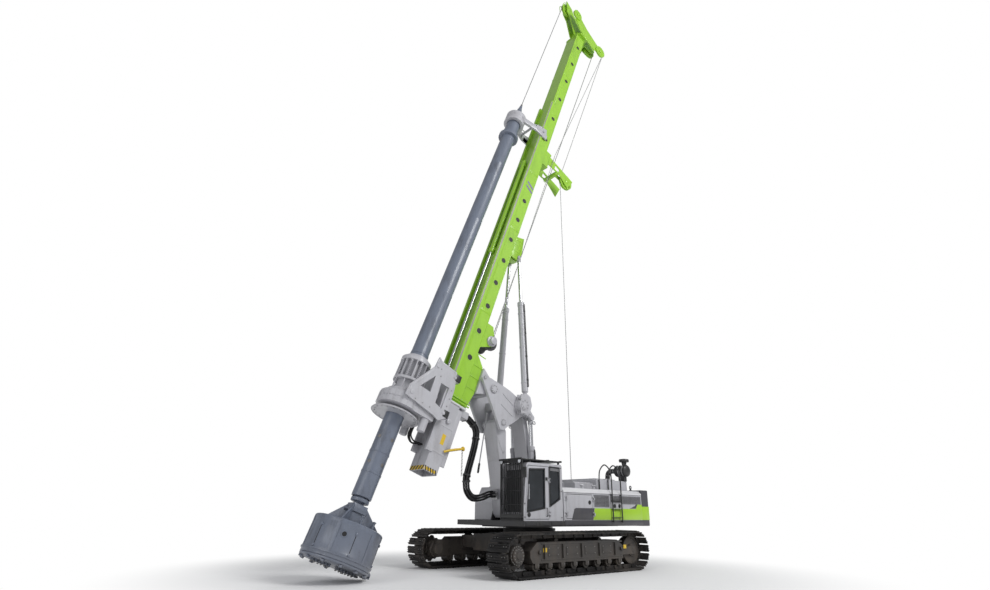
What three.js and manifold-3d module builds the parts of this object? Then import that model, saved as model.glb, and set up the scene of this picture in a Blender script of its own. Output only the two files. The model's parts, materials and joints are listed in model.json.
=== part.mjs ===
// Rotary piling rig on crawler tracks: slewing upper structure, boom linkage, leaning mast,
// crowd carriage with rotary drive, kelly bar and drilling bucket.
// Millimetres. X points forward, Y to the cab side, Z up; the ground is z = 0.
import * as THREE from 'three';
import { mergeVertices } from 'three/addons/utils/BufferGeometryUtils.js';
import Module from 'manifold-3d';

const wasm = await Module();
wasm.setup();

const DEG = Math.PI / 180;
const SEAT = 0.3; // gap left where two solids touch
const RUN = 0.8; // running gap at pins, rings and slides
const CLEAR = 10; // gap between panels and their frames
const PIN = 24; // sides of pins and of the bores that turn on them
const RING = 36; // sides of large bearings
const eyeGap = 0.9; // bore radius less pin radius

// ---------------------------------------------------------------- driving dimensions

const track = {
  length: 5826, height: 1084, shoe: 800, gauge: 3700, shoes: 60, plate: 32, grouser: 30, chain: 210,
  linkOut: 50, linkIn: 50, frameWidth: 440, frameLow: 338, frameHigh: 846, roller: 110, rollers: 8,
};
track.wheelX = (track.length - track.height) / 2;
track.pitchRadius = track.height / 2 - track.linkOut - track.plate - track.grouser;

const carbody = { beamX: 1150, beamLong: 460, low: 500, high: 960, wall: 60, halfWidth: 1000, stubIn: 560 };
const slewing = { outer: 780, inner: 620, top: 1125 };

const deck = { front: 1620, rear: -4160, halfWidth: 1500, high: 1344, thick: 144, spine: 500, skin: 25 };
deck.low = deck.high - deck.thick;
const hood = { front: 30, rear: -3740, tall: 852, crown: 60, wall: 40, edge: 90, plinth: 330 };
hood.high = deck.high + hood.tall;
hood.top = hood.high + hood.crown;
const weight = { rear: -4370, tall: 956, drop: 10 };
const engine = { x: -2650, long: 1500, wide: 900, tall: 640 };
const cab = { front: 1620, rear: 62, inner: 530, outer: 1500, tall: 1546, wall: 60, pillar: 636, sill: 296, waist: 356 };
cab.high = deck.high + cab.tall;
const cabinet = { front: 945, rear: 60, inner: -620, outer: -1500, shoulder: 516, tall: 966, wall: 40 };

// pivots of the boom linkage as [x, z]; the boom and the support link make a parallelogram
const shift = ([x, z], dx, dz) => [x + dx, z + dz];
const boomFoot = [1060, deck.high + 206];
const boomHead = shift(boomFoot, 460, 2545);
const linkHead = shift(boomHead, -1090, 295);
const linkFoot = shift(boomFoot, linkHead[0] - boomHead[0], linkHead[1] - boomHead[1]);
const mastPivot = shift(boomHead, 397, 960);
const crossTube = shift(boomHead, -653, 573);
const mastCylinderFoot = shift(crossTube, -147, 269); // on ears above the cross tube
const luffFoot = [200, deck.high + 356];
const luffHead = shift(boomHead, -1220, 245); // on ears at the triangle's rear corner
const linkWide = 290; // half the width of the boom and of the support link
const triangle = { inner: 420, outer: 520, tubeRadius: 185, tube: 770, cylinderY: 643 };

// the mast's own frame: [t, s] with t forward off the mast and s up along it
const lean = 20.2 * DEG; // the mast leans back from the vertical
const mast = {
  pivot: [3545, 4082], halfWidth: 350, front: 4900, rear: 4400, wall: 30, foot: 3110, top: 22600,
  rail: 40, railDeep: 100, railTop: 17200, holeRadius: 95, heel: 4030, heelTop: 4900,
};
mast.holes = [...steps(4620, 970, 8), ...steps(mast.top - 7600, 1360, 6)];
const foot = { low: 1000, front: 4840, rear: 4370, wall: 40 };
const kelly = {
  t: 6040, radius: 260, wall: 40, low: -250, high: 15190, flange: 13790, innerRadius: 175, innerWall: 45,
  stub: 100, stubLow: -760, headHigh: 15900,
};
const guide = { low: 14640, high: 14960, ring: 140, armHigh: 15340, armThick: 80 };
const crowd = { t: 5000, rod: 45, barrel: 85, rodLow: 3960, rodHigh: 9600, barrelLow: 8730, barrelHigh: 13500 };
const drive = {
  low: 2160, high: 2540, radius: 620, sleeveLow: 2000, sleeveHigh: 3700, sleeveWall: 40, cage: 3010, rib: 140,
  back: 840, disc: 655, motor: 115,
};
drive.sleeve = kelly.radius + drive.sleeveWall;
drive.backHalf = () => cheek.inner - 30;
const cheek = { gap: 230, thick: 60 }; // the carriage's cheeks, outside the rails
cheek.inner = mast.halfWidth + mast.rail + cheek.gap;
cheek.outer = cheek.inner + cheek.thick;
const winch = { at: [4060, 5530], drum: 210, flange: 285, half: 290, shaft: 60 };
const mastCylinderHead = [4000, 9150];
const luffing = { // both cylinders that raise the boom
  y: 420, outer: 95, rod: 65, eye: 90, eyeWidth: 100, pin: 45, barrel: 1800, neck: 120, boreFrom: 190, rodFrom: 750,
  headEye: 75, headWidth: 140,
};
const tilting = { // both cylinders that raise the mast
  headY: 240, outer: 105, rod: 55, eye: 100, eyeWidth: 130, pin: 45, barrel: 3300, neck: 190, boreFrom: 300, rodFrom: 1500,
  headEye: 65, headWidth: 110,
};
const hoseBlock = [3900, mast.foot - 105]; // [t, s] where the hoses leave the mast's foot
const hosePort = [1400, boomFoot[1] + 500]; // where the hoses reach the boom
const bucket = { t: 6050, radius: 850, high: -930, low: -1780, wall: 40, socketHigh: -430, hinge: [5160, -1815] };

// the numbers from first on, count of them, step apart
function steps(first, step, count) {
  return Array.from({ length: count }, (_, i) => first + step * i);
}

// ---------------------------------------------------------------- solids

function solid(geometry) {
  const bare = geometry.clone();
  for (const name of Object.keys(bare.attributes)) {
    if (name !== 'position') bare.deleteAttribute(name);
  }
  const merged = mergeVertices(bare, 0.001);
  const vertProperties = new Float32Array(merged.attributes.position.array);
  const triVerts = new Uint32Array(merged.index.array);
  return new wasm.Manifold(new wasm.Mesh({ numProp: 3, vertProperties, triVerts }));
}

function join(...parts) {
  return parts.flat().reduce((sum, part) => sum.add(part));
}

function cut(body, ...tools) {
  return tools.flat().reduce((left, tool) => left.subtract(tool), body);
}

function box(x0, x1, y0, y1, z0, z1) {
  const shape = new THREE.BoxGeometry(Math.abs(x1 - x0), Math.abs(y1 - y0), Math.abs(z1 - z0));
  return solid(shape.translate((x0 + x1) / 2, (y0 + y1) / 2, (z0 + z1) / 2));
}

// an outline of [x, z] points, extruded along Y
function plateY(outline, y0, y1, holes = []) {
  const shape = new THREE.Shape(outline.map(([x, z]) => new THREE.Vector2(x, z)));
  for (const hole of holes) shape.holes.push(new THREE.Path(hole.map(([x, z]) => new THREE.Vector2(x, z))));
  const geometry = new THREE.ExtrudeGeometry(shape, { depth: y1 - y0, bevelEnabled: false });
  return solid(geometry.rotateX(Math.PI / 2).translate(0, y1, 0));
}

// an outline of [y, z] points, extruded along X
function plateX(outline, x0, x1) {
  const shape = new THREE.Shape(outline.map(([y, z]) => new THREE.Vector2(y, z)));
  const geometry = new THREE.ExtrudeGeometry(shape, { depth: x1 - x0, bevelEnabled: false });
  const turn = new THREE.Matrix4().makeBasis(
    new THREE.Vector3(0, 1, 0), new THREE.Vector3(0, 0, 1), new THREE.Vector3(1, 0, 0));
  return solid(geometry.applyMatrix4(turn).translate(x0, 0, 0));
}

// an outline of [x, y] points, extruded along Z
function plateZ(outline, z0, z1) {
  const shape = new THREE.Shape(outline.map(([x, y]) => new THREE.Vector2(x, y)));
  const geometry = new THREE.ExtrudeGeometry(shape, { depth: z1 - z0, bevelEnabled: false });
  return solid(geometry.translate(0, 0, z0));
}

// a cylinder along Y through [x, z]
function pinY([x, z], radius, y0, y1, sides = 12) {
  const geometry = new THREE.CylinderGeometry(radius, radius, y1 - y0, sides);
  return solid(geometry.translate(x, (y0 + y1) / 2, z));
}

// a cylinder along Z through [x, y]
function rodZ([x, y], radius, z0, z1, sides = 14, topRadius = radius) {
  const geometry = new THREE.CylinderGeometry(topRadius, radius, z1 - z0, sides);
  return solid(geometry.rotateX(Math.PI / 2).translate(x, y, (z0 + z1) / 2));
}

// a cylinder along X through [y, z]
function rodX([y, z], radius, x0, x1, sides = 16) {
  const geometry = new THREE.CylinderGeometry(radius, radius, x1 - x0, sides);
  return solid(geometry.rotateZ(Math.PI / 2).translate((x0 + x1) / 2, y, z));
}

function tubeZ(centre, outer, inner, z0, z1, sides = 20) {
  return cut(rodZ(centre, outer, z0, z1, sides), rodZ(centre, inner, z0 - 10, z1 + 10, sides));
}

// a ring or plug along Y with a bore
function eyeY(centre, outer, inner, y0, y1) {
  return cut(pinY(centre, outer, y0, y1), pinY(centre, inner, y0 - 10, y1 + 10, PIN));
}

// a bar of rectangular section between two [x, z] points, flat to Y
function barY([x0, z0], [x1, z1], deep, y0, y1) {
  const long = Math.hypot(x1 - x0, z1 - z0);
  const nx = (-(z1 - z0) / long) * deep / 2;
  const nz = ((x1 - x0) / long) * deep / 2;
  return plateY([[x0 - nx, z0 - nz], [x1 - nx, z1 - nz], [x1 + nx, z1 + nz], [x0 + nx, z0 + nz]], y0, y1);
}

// a round bar between two points in space
function bar(a, b, radius, sides = 12, endRadius = radius) {
  const from = new THREE.Vector3(...a);
  const to = new THREE.Vector3(...b);
  const along = to.clone().sub(from);
  const geometry = new THREE.CylinderGeometry(endRadius, radius, along.length(), sides);
  const turn = new THREE.Quaternion().setFromUnitVectors(new THREE.Vector3(0, 1, 0), along.clone().normalize());
  geometry.applyQuaternion(turn);
  const middle = from.add(to).multiplyScalar(0.5);
  return solid(geometry.translate(middle.x, middle.y, middle.z));
}

// a bent round bar through points
function bentBar(points, radius, steps = 12, sides = 8) {
  const curve = new THREE.CatmullRomCurve3(points.map((p) => new THREE.Vector3(...p)), false, 'centripetal');
  const ring = [];
  for (let i = 0; i < sides; i += 1) {
    const turn = (i / sides) * 2 * Math.PI;
    ring.push(new THREE.Vector2(radius * Math.cos(turn), radius * Math.sin(turn)));
  }
  const options = { steps, extrudePath: curve, bevelEnabled: false };
  return solid(new THREE.ExtrudeGeometry(new THREE.Shape(ring), options));
}

function mirrorY(body) {
  return body.mirror([0, 1, 0]);
}

const both = [['left', 1], ['right', -1]];

// a door hinge outside the skin at y: knuckles on the door side, a pin with lugs on the frame side
const hinge = { out: 22, pin: 8, bore: 10.2, knuckle: 18, long: 60, strap: 40, sides: 6 };

function hingeKnuckle(x, skin, z, toDoor) {
  const y = skin + hinge.out;
  const strap = box(x, x + toDoor * hinge.strap, y - 8, y + 2, z + RUN, z + hinge.long - RUN);
  const foot = box(x + toDoor * 24, x + toDoor * (24 + 30), skin - 5, y + 2, z + RUN, z + hinge.long - RUN);
  const eye = rodZ([x, y], hinge.knuckle, z + RUN, z + hinge.long - RUN, hinge.sides);
  return cut(join(eye, strap, foot), rodZ([x, y], hinge.bore, z - 10, z + hinge.long + 10, hinge.sides));
}

function hingeLugs(x, skin, z, toDoor) {
  const y = skin + hinge.out;
  const lug = (low) => join(rodZ([x, y], hinge.knuckle, low, low + 30, hinge.sides),
    box(x - toDoor * 60, x, y - 8, y + 8, low, low + 30),
    box(x - toDoor * 60, x - toDoor * 40, skin - 5, y + 8, low, low + 30));
  return join(lug(z - 30), lug(z + hinge.long), rodZ([x, y], hinge.pin, z - 5, z + hinge.long + 5, hinge.sides));
}

function onSide(body, side) {
  return side > 0 ? body : mirrorY(body);
}

// ---------------------------------------------------------------- nodes

const rig = new THREE.Group();
const mastGroup = new THREE.Group(); // local x is forward off the mast, local z runs up the mast
mastGroup.rotation.y = -lean;
rig.add(mastGroup);

const paint = {
  green: { color: 0x8fd11e, roughness: 0.35, metalness: 0.1 },
  grey: { color: 0xbfc0c4, roughness: 0.4, metalness: 0.1 },
  dark: { color: 0x2b2c2e, roughness: 0.6, metalness: 0.1 },
  black: { color: 0x171718, roughness: 0.7, metalness: 0.1 },
  slate: { color: 0x6f7885, roughness: 0.45, metalness: 0.2 },
  steel: { color: 0xd5d7da, roughness: 0.2, metalness: 0.9 },
  glass: { color: 0x10151a, roughness: 0.05, metalness: 0.0 },
};

function add(name, body, finish, parent = rig) {
  const data = body.getMesh();
  const geometry = new THREE.BufferGeometry();
  geometry.setAttribute('position', new THREE.BufferAttribute(new Float32Array(data.vertProperties), 3));
  geometry.setIndex(new THREE.BufferAttribute(new Uint32Array(data.triVerts), 1));
  geometry.computeVertexNormals();
  const mesh = new THREE.Mesh(geometry, new THREE.MeshStandardMaterial(paint[finish]));
  mesh.name = name;
  parent.add(mesh);
}

// ---------------------------------------------------------------- crawler tracks

const straight = 2 * track.wheelX;
const round = Math.PI * track.pitchRadius;

// a point of the track loop: distance along the pitch line, offset outwards
function loopPoint(distance, offset) {
  const total = 2 * (straight + round);
  const d = ((distance % total) + total) % total;
  const r = track.pitchRadius;
  const mid = track.height / 2;
  if (d < straight) return [track.wheelX - d, mid + r + offset];
  if (d < straight + round) {
    const a = Math.PI / 2 + (d - straight) / r;
    return [-track.wheelX + (r + offset) * Math.cos(a), mid + (r + offset) * Math.sin(a)];
  }
  if (d < 2 * straight + round) return [-track.wheelX + (d - straight - round), mid - r - offset];
  const a = -Math.PI / 2 + (d - 2 * straight - round) / r;
  return [track.wheelX + (r + offset) * Math.cos(a), mid + (r + offset) * Math.sin(a)];
}

function smoothLoop(offset, arcs) {
  const outline = [];
  for (let i = 0; i <= arcs; i += 1) outline.push(loopPoint(straight + (round * i) / arcs, offset));
  for (let i = 0; i < arcs; i += 1) outline.push(loopPoint(2 * straight + round + (round * i) / arcs, offset));
  outline.push(loopPoint(0, offset));
  return outline;
}

function shoeLoop() {
  const pitch = (2 * (straight + round)) / track.shoes;
  const plate = track.linkOut + track.plate;
  const outline = [];
  for (let i = 0; i < track.shoes; i += 1) {
    const start = i * pitch;
    outline.push(loopPoint(start, plate));
    outline.push(loopPoint(start + pitch * 0.08, plate + track.grouser));
    outline.push(loopPoint(start + pitch * 0.16, plate));
  }
  return outline;
}

function trackLoop(centreY) {
  const half = track.shoe / 2;
  const shoes = plateY(shoeLoop(), centreY - half, centreY + half, [smoothLoop(track.linkOut - 5, 12)]);
  const chain = plateY(smoothLoop(track.linkOut, 12), centreY - track.chain / 2, centreY + track.chain / 2,
    [smoothLoop(-track.linkIn, 12)]);
  return join(shoes, chain);
}

function trackFrame(centreY) {
  const half = track.frameWidth / 2;
  const mid = track.height / 2;
  const in0 = centreY - half;
  const out0 = centreY + half;
  const back = -track.wheelX + 520;
  const ahead = track.wheelX - 520;
  let frame = plateY([[back, track.frameLow], [ahead, track.frameLow], [ahead + 90, mid - 60],
    [ahead + 90, mid + 90], [ahead - 160, track.frameHigh], [back + 260, track.frameHigh],
    [back, mid + 150]], in0, out0);
  // forks that carry the idler at the rear
  for (const y of [in0 + 20, out0 - 90]) {
    frame = join(frame, plateY([[back + 50, mid - 110], [back + 50, mid + 110],
      [-track.wheelX - 110, mid + 110], [-track.wheelX - 110, mid - 110]], y, y + 70));
  }
  const idler = [-track.wheelX, mid];
  frame = join(frame, pinY(idler, 374, centreY - 100, centreY + 100, 16),
    pinY(idler, 60, in0 + 5, out0 - 5));
  // plate that carries the final drive at the front
  frame = join(frame, cut(plateY([[ahead - 50, mid - 230], [track.wheelX - 60, mid - 250],
    [track.wheelX + 190, mid - 160], [track.wheelX + 190, mid + 160], [track.wheelX - 60, mid + 250],
    [ahead - 50, mid + 230]], in0 - 10, in0 + 60), pinY([track.wheelX, mid], 100 + eyeGap, in0 - 20, in0 + 70, PIN)));
  // bottom rollers under the frame and carrier rollers over it
  const rollerZ = mid - track.pitchRadius + track.linkIn + SEAT + track.roller;
  for (let i = 0; i < track.rollers; i += 1) {
    const x = -1700 + (3400 * i) / (track.rollers - 1);
    frame = join(frame, pinY([x, rollerZ], track.roller, centreY - 150, centreY + 150, 8));
    frame = join(frame, box(x - 60, x + 60, centreY - 190, centreY + 190, rollerZ - 30, track.frameLow + 20));
  }
  const topZ = mid + track.pitchRadius - track.linkIn - SEAT - 80;
  for (const x of [-900, 900]) {
    frame = join(frame, pinY([x, topZ], 80, centreY - 120, centreY + 120, 8));
    frame = join(frame, box(x - 40, x + 40, centreY - 100, centreY + 100, track.frameHigh - 30, topZ));
  }
  // stubs that slide in the carbody's beams
  const stubHalf = carbody.beamLong / 2 - carbody.wall - 5;
  const stubLow = carbody.low + carbody.wall + 5;
  const stubHigh = carbody.high - carbody.wall - RUN;
  for (const x of [-carbody.beamX, carbody.beamX]) {
    frame = join(frame, box(x - stubHalf, x + stubHalf, carbody.stubIn, in0 + 30, stubLow, stubHigh));
    frame = join(frame, box(x - stubHalf - 60, x + stubHalf + 60, in0 - 60, in0 + 30, stubLow - 60,
      track.frameHigh - 20));
  }
  return frame;
}

function driveWheel(centreY) {
  const centre = [track.wheelX, track.height / 2];
  const inner = centreY - track.frameWidth / 2;
  const hub = join(pinY(centre, 235, inner + 60 + SEAT, centreY + 210), pinY(centre, 190, centreY + 205, centreY + 250));
  const teeth = [];
  const count = 11;
  for (let i = 0; i < count * 4; i += 1) {
    const a = (i / (count * 4)) * 2 * Math.PI;
    const r = i % 4 === 0 || i % 4 === 1 ? 362 : 318;
    teeth.push([centre[0] + r * Math.cos(a), centre[1] + r * Math.sin(a)]);
  }
  const face = inner - 10 - SEAT;
  return join(hub, plateY(teeth, centreY - 40, centreY + 40), pinY(centre, 100, face - 10, inner + 70, PIN),
    pinY(centre, 210, face - 90, face), pinY(centre, 150, face - 260, face - 85),
    box(centre[0] - 150, centre[0] + 60, face - 230, face - 60, centre[1] + 60, centre[1] + 230));
}

for (const [name, side] of both) {
  const centreY = track.gauge / 2;
  add(`track_${name}`, onSide(trackLoop(centreY), side), 'black');
  add(`track_frame_${name}`, onSide(trackFrame(centreY), side), 'dark');
  add(`travel_drive_${name}`, onSide(driveWheel(centreY), side), 'dark');
}

function carbodyFrame() {
  const reach = carbody.beamX + carbody.beamLong / 2;
  let body = box(-carbody.beamX, carbody.beamX, -720, 720, carbody.low + 60, carbody.high);
  for (const x of [-carbody.beamX, carbody.beamX]) {
    body = join(body, box(x - carbody.beamLong / 2, x + carbody.beamLong / 2, -carbody.halfWidth,
      carbody.halfWidth, carbody.low, carbody.high));
  }
  const hollow = carbody.beamLong / 2 - carbody.wall;
  for (const x of [-carbody.beamX, carbody.beamX]) {
    for (const side of [-1, 1]) {
      const y0 = side * 60;
      const y1 = side * (carbody.halfWidth + 10);
      body = cut(body, box(x - hollow, x + hollow, Math.min(y0, y1), Math.max(y0, y1),
        carbody.low + carbody.wall, carbody.high - carbody.wall));
    }
  }
  const plate = plateZ([[-reach, -500], [-900, -900], [900, -900], [reach, -500], [reach, 500], [900, 900],
    [-900, 900], [-reach, 500]], carbody.high - 10, carbody.high + 20);
  const ring = tubeZ([0, 0], slewing.outer, slewing.inner, carbody.high + 10, slewing.top, 24);
  return join(body, plate, ring);
}

add('carbody', carbodyFrame(), 'dark');

// ---------------------------------------------------------------- upper structure

const deckSeat = slewing.top + RUN;

function turntableFrame() {
  let body = box(-3700, 1450, -deck.spine, deck.spine, deckSeat + 40, deck.high);
  body = join(body, rodZ([0, 0], slewing.outer - 60, deckSeat, deckSeat + 60, 24));
  body = join(body, box(deck.rear + 420, deck.front, -deck.halfWidth, deck.halfWidth, deck.low, deck.high));
  // pockets in the underside between the spine and the side beams
  for (const side of [1, -1]) {
    for (const [x0, x1] of [[deck.rear + 480, -1900], [-1840, -100], [-40, deck.front - 60]]) {
      body = cut(body, onSide(box(x0, x1, 800, deck.halfWidth - 60, deck.low - 10, deck.high - deck.skin), side));
    }
  }
  // ears of the boom foot, the support link and the luffing cylinders
  const ear = (at, r, y0, y1) => plateY([[at[0] - r * 1.6, deck.high - 10], [at[0] + r * 1.6, deck.high - 10],
    [at[0] + r, at[1] + r * 0.4], [at[0] + r * 0.4, at[1] + r], [at[0] - r * 0.4, at[1] + r], [at[0] - r, at[1] + r * 0.4]], y0, y1);
  const { y, eyeWidth } = luffing;
  const lugs = [ear(boomFoot, 130, linkWide + 6, linkWide + 50), ear(linkFoot, 110, linkWide + 6, linkWide + 36),
    ear(luffFoot, 90, y - eyeWidth / 2 - 30, y - eyeWidth / 2 - 10), ear(luffFoot, 90, y + eyeWidth / 2 + 10, y + eyeWidth / 2 + 30),
    pinY(luffFoot, luffing.pin, y - eyeWidth / 2 - 20, y + eyeWidth / 2 + 20, PIN)];
  for (const side of [1, -1]) body = join(body, ...lugs.map((lug) => onSide(lug, side)));
  body = join(body, pinY(boomFoot, 70, -linkWide - 30, linkWide + 30, PIN), pinY(linkFoot, 50, -linkWide - 20, linkWide + 20, PIN));
  return body;
}

add('turntable_frame', turntableFrame(), 'dark');

function counterweight() {
  const half = deck.halfWidth;
  const front = deck.rear + 420 - SEAT;
  return plateZ([[front, -half], [front, half], [weight.rear + 250, half], [weight.rear + 60, half - 300],
    [weight.rear, half - 800], [weight.rear, -half + 800], [weight.rear + 60, -half + 300],
    [weight.rear + 250, -half]], deck.low - weight.drop, deck.high + weight.tall);
}

add('counterweight', counterweight(), 'dark');

// door panels in the hood: [name, front x, rear x]
const hoodDoors = [['service_door', -80, -1240], ['louvre_door', -1300, -2080]];
const doorLow = deck.high + 60;
const doorHigh = hood.high - 110;
const doorThick = 40;
const hoodHinges = [doorLow + 90, doorHigh - 150];

function hoodShell() {
  const half = deck.halfWidth;
  const edge = hood.edge;
  const low = deck.high + SEAT;
  const { top } = hood;
  const outline = [[-half, low], [half, low], [half, hood.high - 30], [half - edge, top], [-half + edge, top],
    [-half, hood.high - 30]];
  const inner = [[-half + hood.wall, low - 20], [half - hood.wall, low - 20],
    [half - hood.wall, hood.high - 50], [half - edge - 20, top - hood.wall],
    [-half + edge + 20, top - hood.wall], [-half + hood.wall, hood.high - 50]];
  let shell = plateX(outline, hood.rear, hood.front);
  shell = cut(shell, plateX(inner, hood.rear + hood.wall, hood.front - hood.wall));
  // channel for the support rods and luffing cylinders
  shell = cut(shell, box(-1050, hood.front + 10, -520, 540, low - 10, top + 10));
  for (const side of [1, -1]) {
    for (const [, x0, x1] of hoodDoors) {
      const y0 = half - hood.wall - 10;
      shell = cut(shell, onSide(box(x1, x0, y0, half + 10, doorLow, doorHigh), side));
    }
  }
  for (const side of [1, -1]) {
    for (const [, x0] of hoodDoors) {
      for (const z of hoodHinges) shell = join(shell, onSide(hingeLugs(x0, half, z, -1), side));
    }
  }
  // walls of the channel
  shell = join(shell, box(-1050 - 30, -1050, -560, 580, low, top - 10));
  shell = join(shell, box(-1050, hood.front - 5, 540, 570, low, top - 10));
  shell = join(shell, box(-1050, hood.front - 5, -550, -520, low, top - 10));
  // raised plinth over the engine
  return join(shell, box(-3640, -2050, -850, 1030, top - 5, top + hood.plinth),
    box(-2060, -1150, -700, 900, top - 5, top + hood.plinth - 120));
}

add('engine_hood', hoodShell(), 'grey');

for (const [name, side] of both) {
  for (const [door, x0, x1] of hoodDoors) {
    const y = deck.halfWidth;
    const panel = box(x1 + CLEAR, x0 - 5, y - doorThick, y, doorLow + CLEAR, doorHigh - CLEAR);
    const knuckles = hoodHinges.map((z) => hingeKnuckle(x0, y, z, -1));
    add(`${door}_${name}`, onSide(join(panel, ...knuckles), side), 'grey');
  }
}

add('engine_block', box(engine.x - engine.long / 2, engine.x + engine.long / 2, -engine.wide / 2,
  engine.wide / 2, deck.high + SEAT, deck.high + engine.tall), 'dark');

// ---------------------------------------------------------------- cab

const cabHinges = [deck.high + 156, deck.high + 1056];
const cabWaist = deck.high + cab.waist; // where the windscreen starts to lean back

function cabShell() {
  const low = deck.high + SEAT;
  const c = cab;
  const w = c.wall;
  const outline = [[c.rear, low], [c.front, low], [c.front, cabWaist], [c.front - 120, c.high - 60],
    [c.front - 180, c.high], [c.rear + 40, c.high], [c.rear, c.high - 50]];
  const inside = [[c.rear + w, low + w], [c.front - w, low + w], [c.front - w, cabWaist],
    [c.front - w - 118, c.high - w], [c.rear + w, c.high - w]];
  let shell = plateY(outline, c.inner, c.outer);
  shell = cut(shell, plateY(inside, c.inner + w, c.outer - w));
  // windscreen, side and rear windows, skylight
  shell = cut(shell, box(c.front - 260, c.front + 10, c.inner + 110, c.outer - 110, low + 220, c.high - 190));
  shell = cut(shell, box(c.rear + 120, c.front - 330, c.inner - 10, c.inner + w + 10,
    deck.high + c.sill, c.high - 150));
  shell = cut(shell, box(c.rear - 10, c.rear + w + 10, c.inner + 130, c.outer - 130,
    deck.high + 956, c.high - 150));
  // rear quarter window on the door side
  shell = cut(shell, plateY([[c.rear + 115, cabWaist + 230], [c.pillar - 40, cabWaist + 20], [c.pillar - 40, c.high - 80],
    [c.rear + 115, c.high - 90]], c.outer - w - 10, c.outer + 10));
  // doorway
  shell = cut(shell, doorOutline(0, c.outer - w - 10, c.outer + 10));
  return join(shell, ...cabHinges.map((z) => hingeLugs(c.pillar, c.outer, z, 1)));
}

function doorOutline(gap, y0, y1) {
  const c = cab;
  const low = deck.high + SEAT + 40;
  return plateY([[c.pillar + gap, low + gap], [c.front - 70 - gap, low + gap], [c.front - 70 - gap, cabWaist],
    [c.front - 165 - gap, c.high - 80 - gap], [c.pillar + gap, c.high - 80 - gap]], y0, y1);
}

// the door's window as [x, z] points, drawn in by gap
function doorWindow(gap) {
  const c = cab;
  return [[c.pillar + 165 + gap, cabWaist - 25 + gap], [c.front - 110 - gap, cabWaist - 140 + 3 * gap],
    [c.front - 205 - gap, c.high - 175 - gap], [c.pillar + 155 + gap, c.high - 145 - gap]];
}

function cabDoor() {
  const c = cab;
  const y0 = c.outer - 50;
  let door = doorOutline(CLEAR, y0, c.outer);
  door = cut(door, plateY(doorWindow(0), y0 - 10, c.outer + 10));
  door = join(door, ...cabHinges.map((z) => hingeKnuckle(c.pillar, c.outer, z, 1)));
  return join(door,
    box(c.front - 190, c.front - 170, c.outer - 5, c.outer + 35,
      deck.high + 556, deck.high + 956));
}

add('cab_shell', cabShell(), 'grey');
add('cab_door', cabDoor(), 'grey');

const glassThick = 12;

function doorGlass() {
  const c = cab;
  return plateY(doorWindow(SEAT), c.outer - 35, c.outer - 35 + glassThick);
}

add('cab_door_glass', doorGlass(), 'glass');

function frontGlass() {
  const c = cab;
  const low = deck.high + SEAT + 220;
  return box(c.front - 170, c.front - 170 + glassThick, c.inner + 110 + SEAT, c.outer - 110 - SEAT, low + SEAT,
    c.high - 190 - SEAT);
}

add('cab_windscreen', frontGlass(), 'glass');

function cabGuard() {
  const c = cab;
  const x = c.front + SEAT;
  let guard = box(x, x + 40, c.inner + 20, c.outer - 20, deck.high + 120, c.high + 65);
  guard = cut(guard, box(x - 10, x + 50, c.inner + 60, c.outer - 60, deck.high + 170, c.high - 10));
  for (let y = c.inner + 100; y < c.outer - 80; y += 90) {
    guard = join(guard, box(x + 10, x + 30, y, y + 16, deck.high + 150, c.high));
  }
  return guard;
}

function roofGuard() {
  const c = cab;
  const low = c.high + SEAT;
  let roof = box(c.rear - 10, c.front + 90, c.inner + 5, c.outer - 5, c.high + 60, c.high + 90);
  for (const x of [c.rear + 60, c.front - 320]) {
    for (const y of [c.inner + 40, c.outer - 90]) roof = join(roof, box(x, x + 50, y, y + 50, low, c.high + 70));
  }
  return roof;
}

add('cab_guard', join(cabGuard(), roofGuard()), 'black');

function cabInterior() {
  const low = deck.high + SEAT + cab.wall + SEAT;
  const y = (cab.inner + cab.outer) / 2;
  const mat = box(200, 1400, cab.inner + cab.wall + 5, cab.outer - cab.wall - 5, low, low + 20);
  const chair = join(box(430, 830, y - 200, y + 200, low, low + 250), box(380, 900, y - 250, y + 250, low + 240, low + 380),
    plateY([[330, low + 300], [450, low + 300], [380, low + 1000], [290, low + 1000]], y - 240, y + 240));
  return join(mat, chair, box(1000, 1400, cab.inner + cab.wall + SEAT, cab.inner + 250, low, low + 500),
    box(1250, 1400, cab.inner + 150, cab.outer - 200, low, low + 300),
    box(1280, 1310, cab.inner + 90, cab.inner + 330, low + 450, low + 720));
}

add('cab_interior', cabInterior(), 'black');

// ---------------------------------------------------------------- right side cabinet and deck fittings

function rightCabinet() {
  const c = cabinet;
  const low = deck.high + SEAT;
  const w = c.wall;
  const shoulder = deck.high + c.shoulder;
  const top = deck.high + c.tall;
  const skin = plateY([[c.rear, low], [c.front, low], [c.front, shoulder], [c.front - 60, shoulder + 60],
    [c.front - 260, top], [c.rear, top]], c.outer, c.inner);
  return cut(skin, plateY([[c.rear + w, low - 10], [c.front - w, low - 10], [c.front - w, shoulder - 10],
    [c.front - 60 - w, shoulder + 30], [c.front - 280, top - w], [c.rear + w, top - w]],
  c.outer + w, c.inner - w));
}

add('right_cabinet', rightCabinet(), 'dark');

const cleaner = { x: -3570, y0: 700, y1: 1180, radius: 195, up: 340 }; // lies across the plinth

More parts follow.
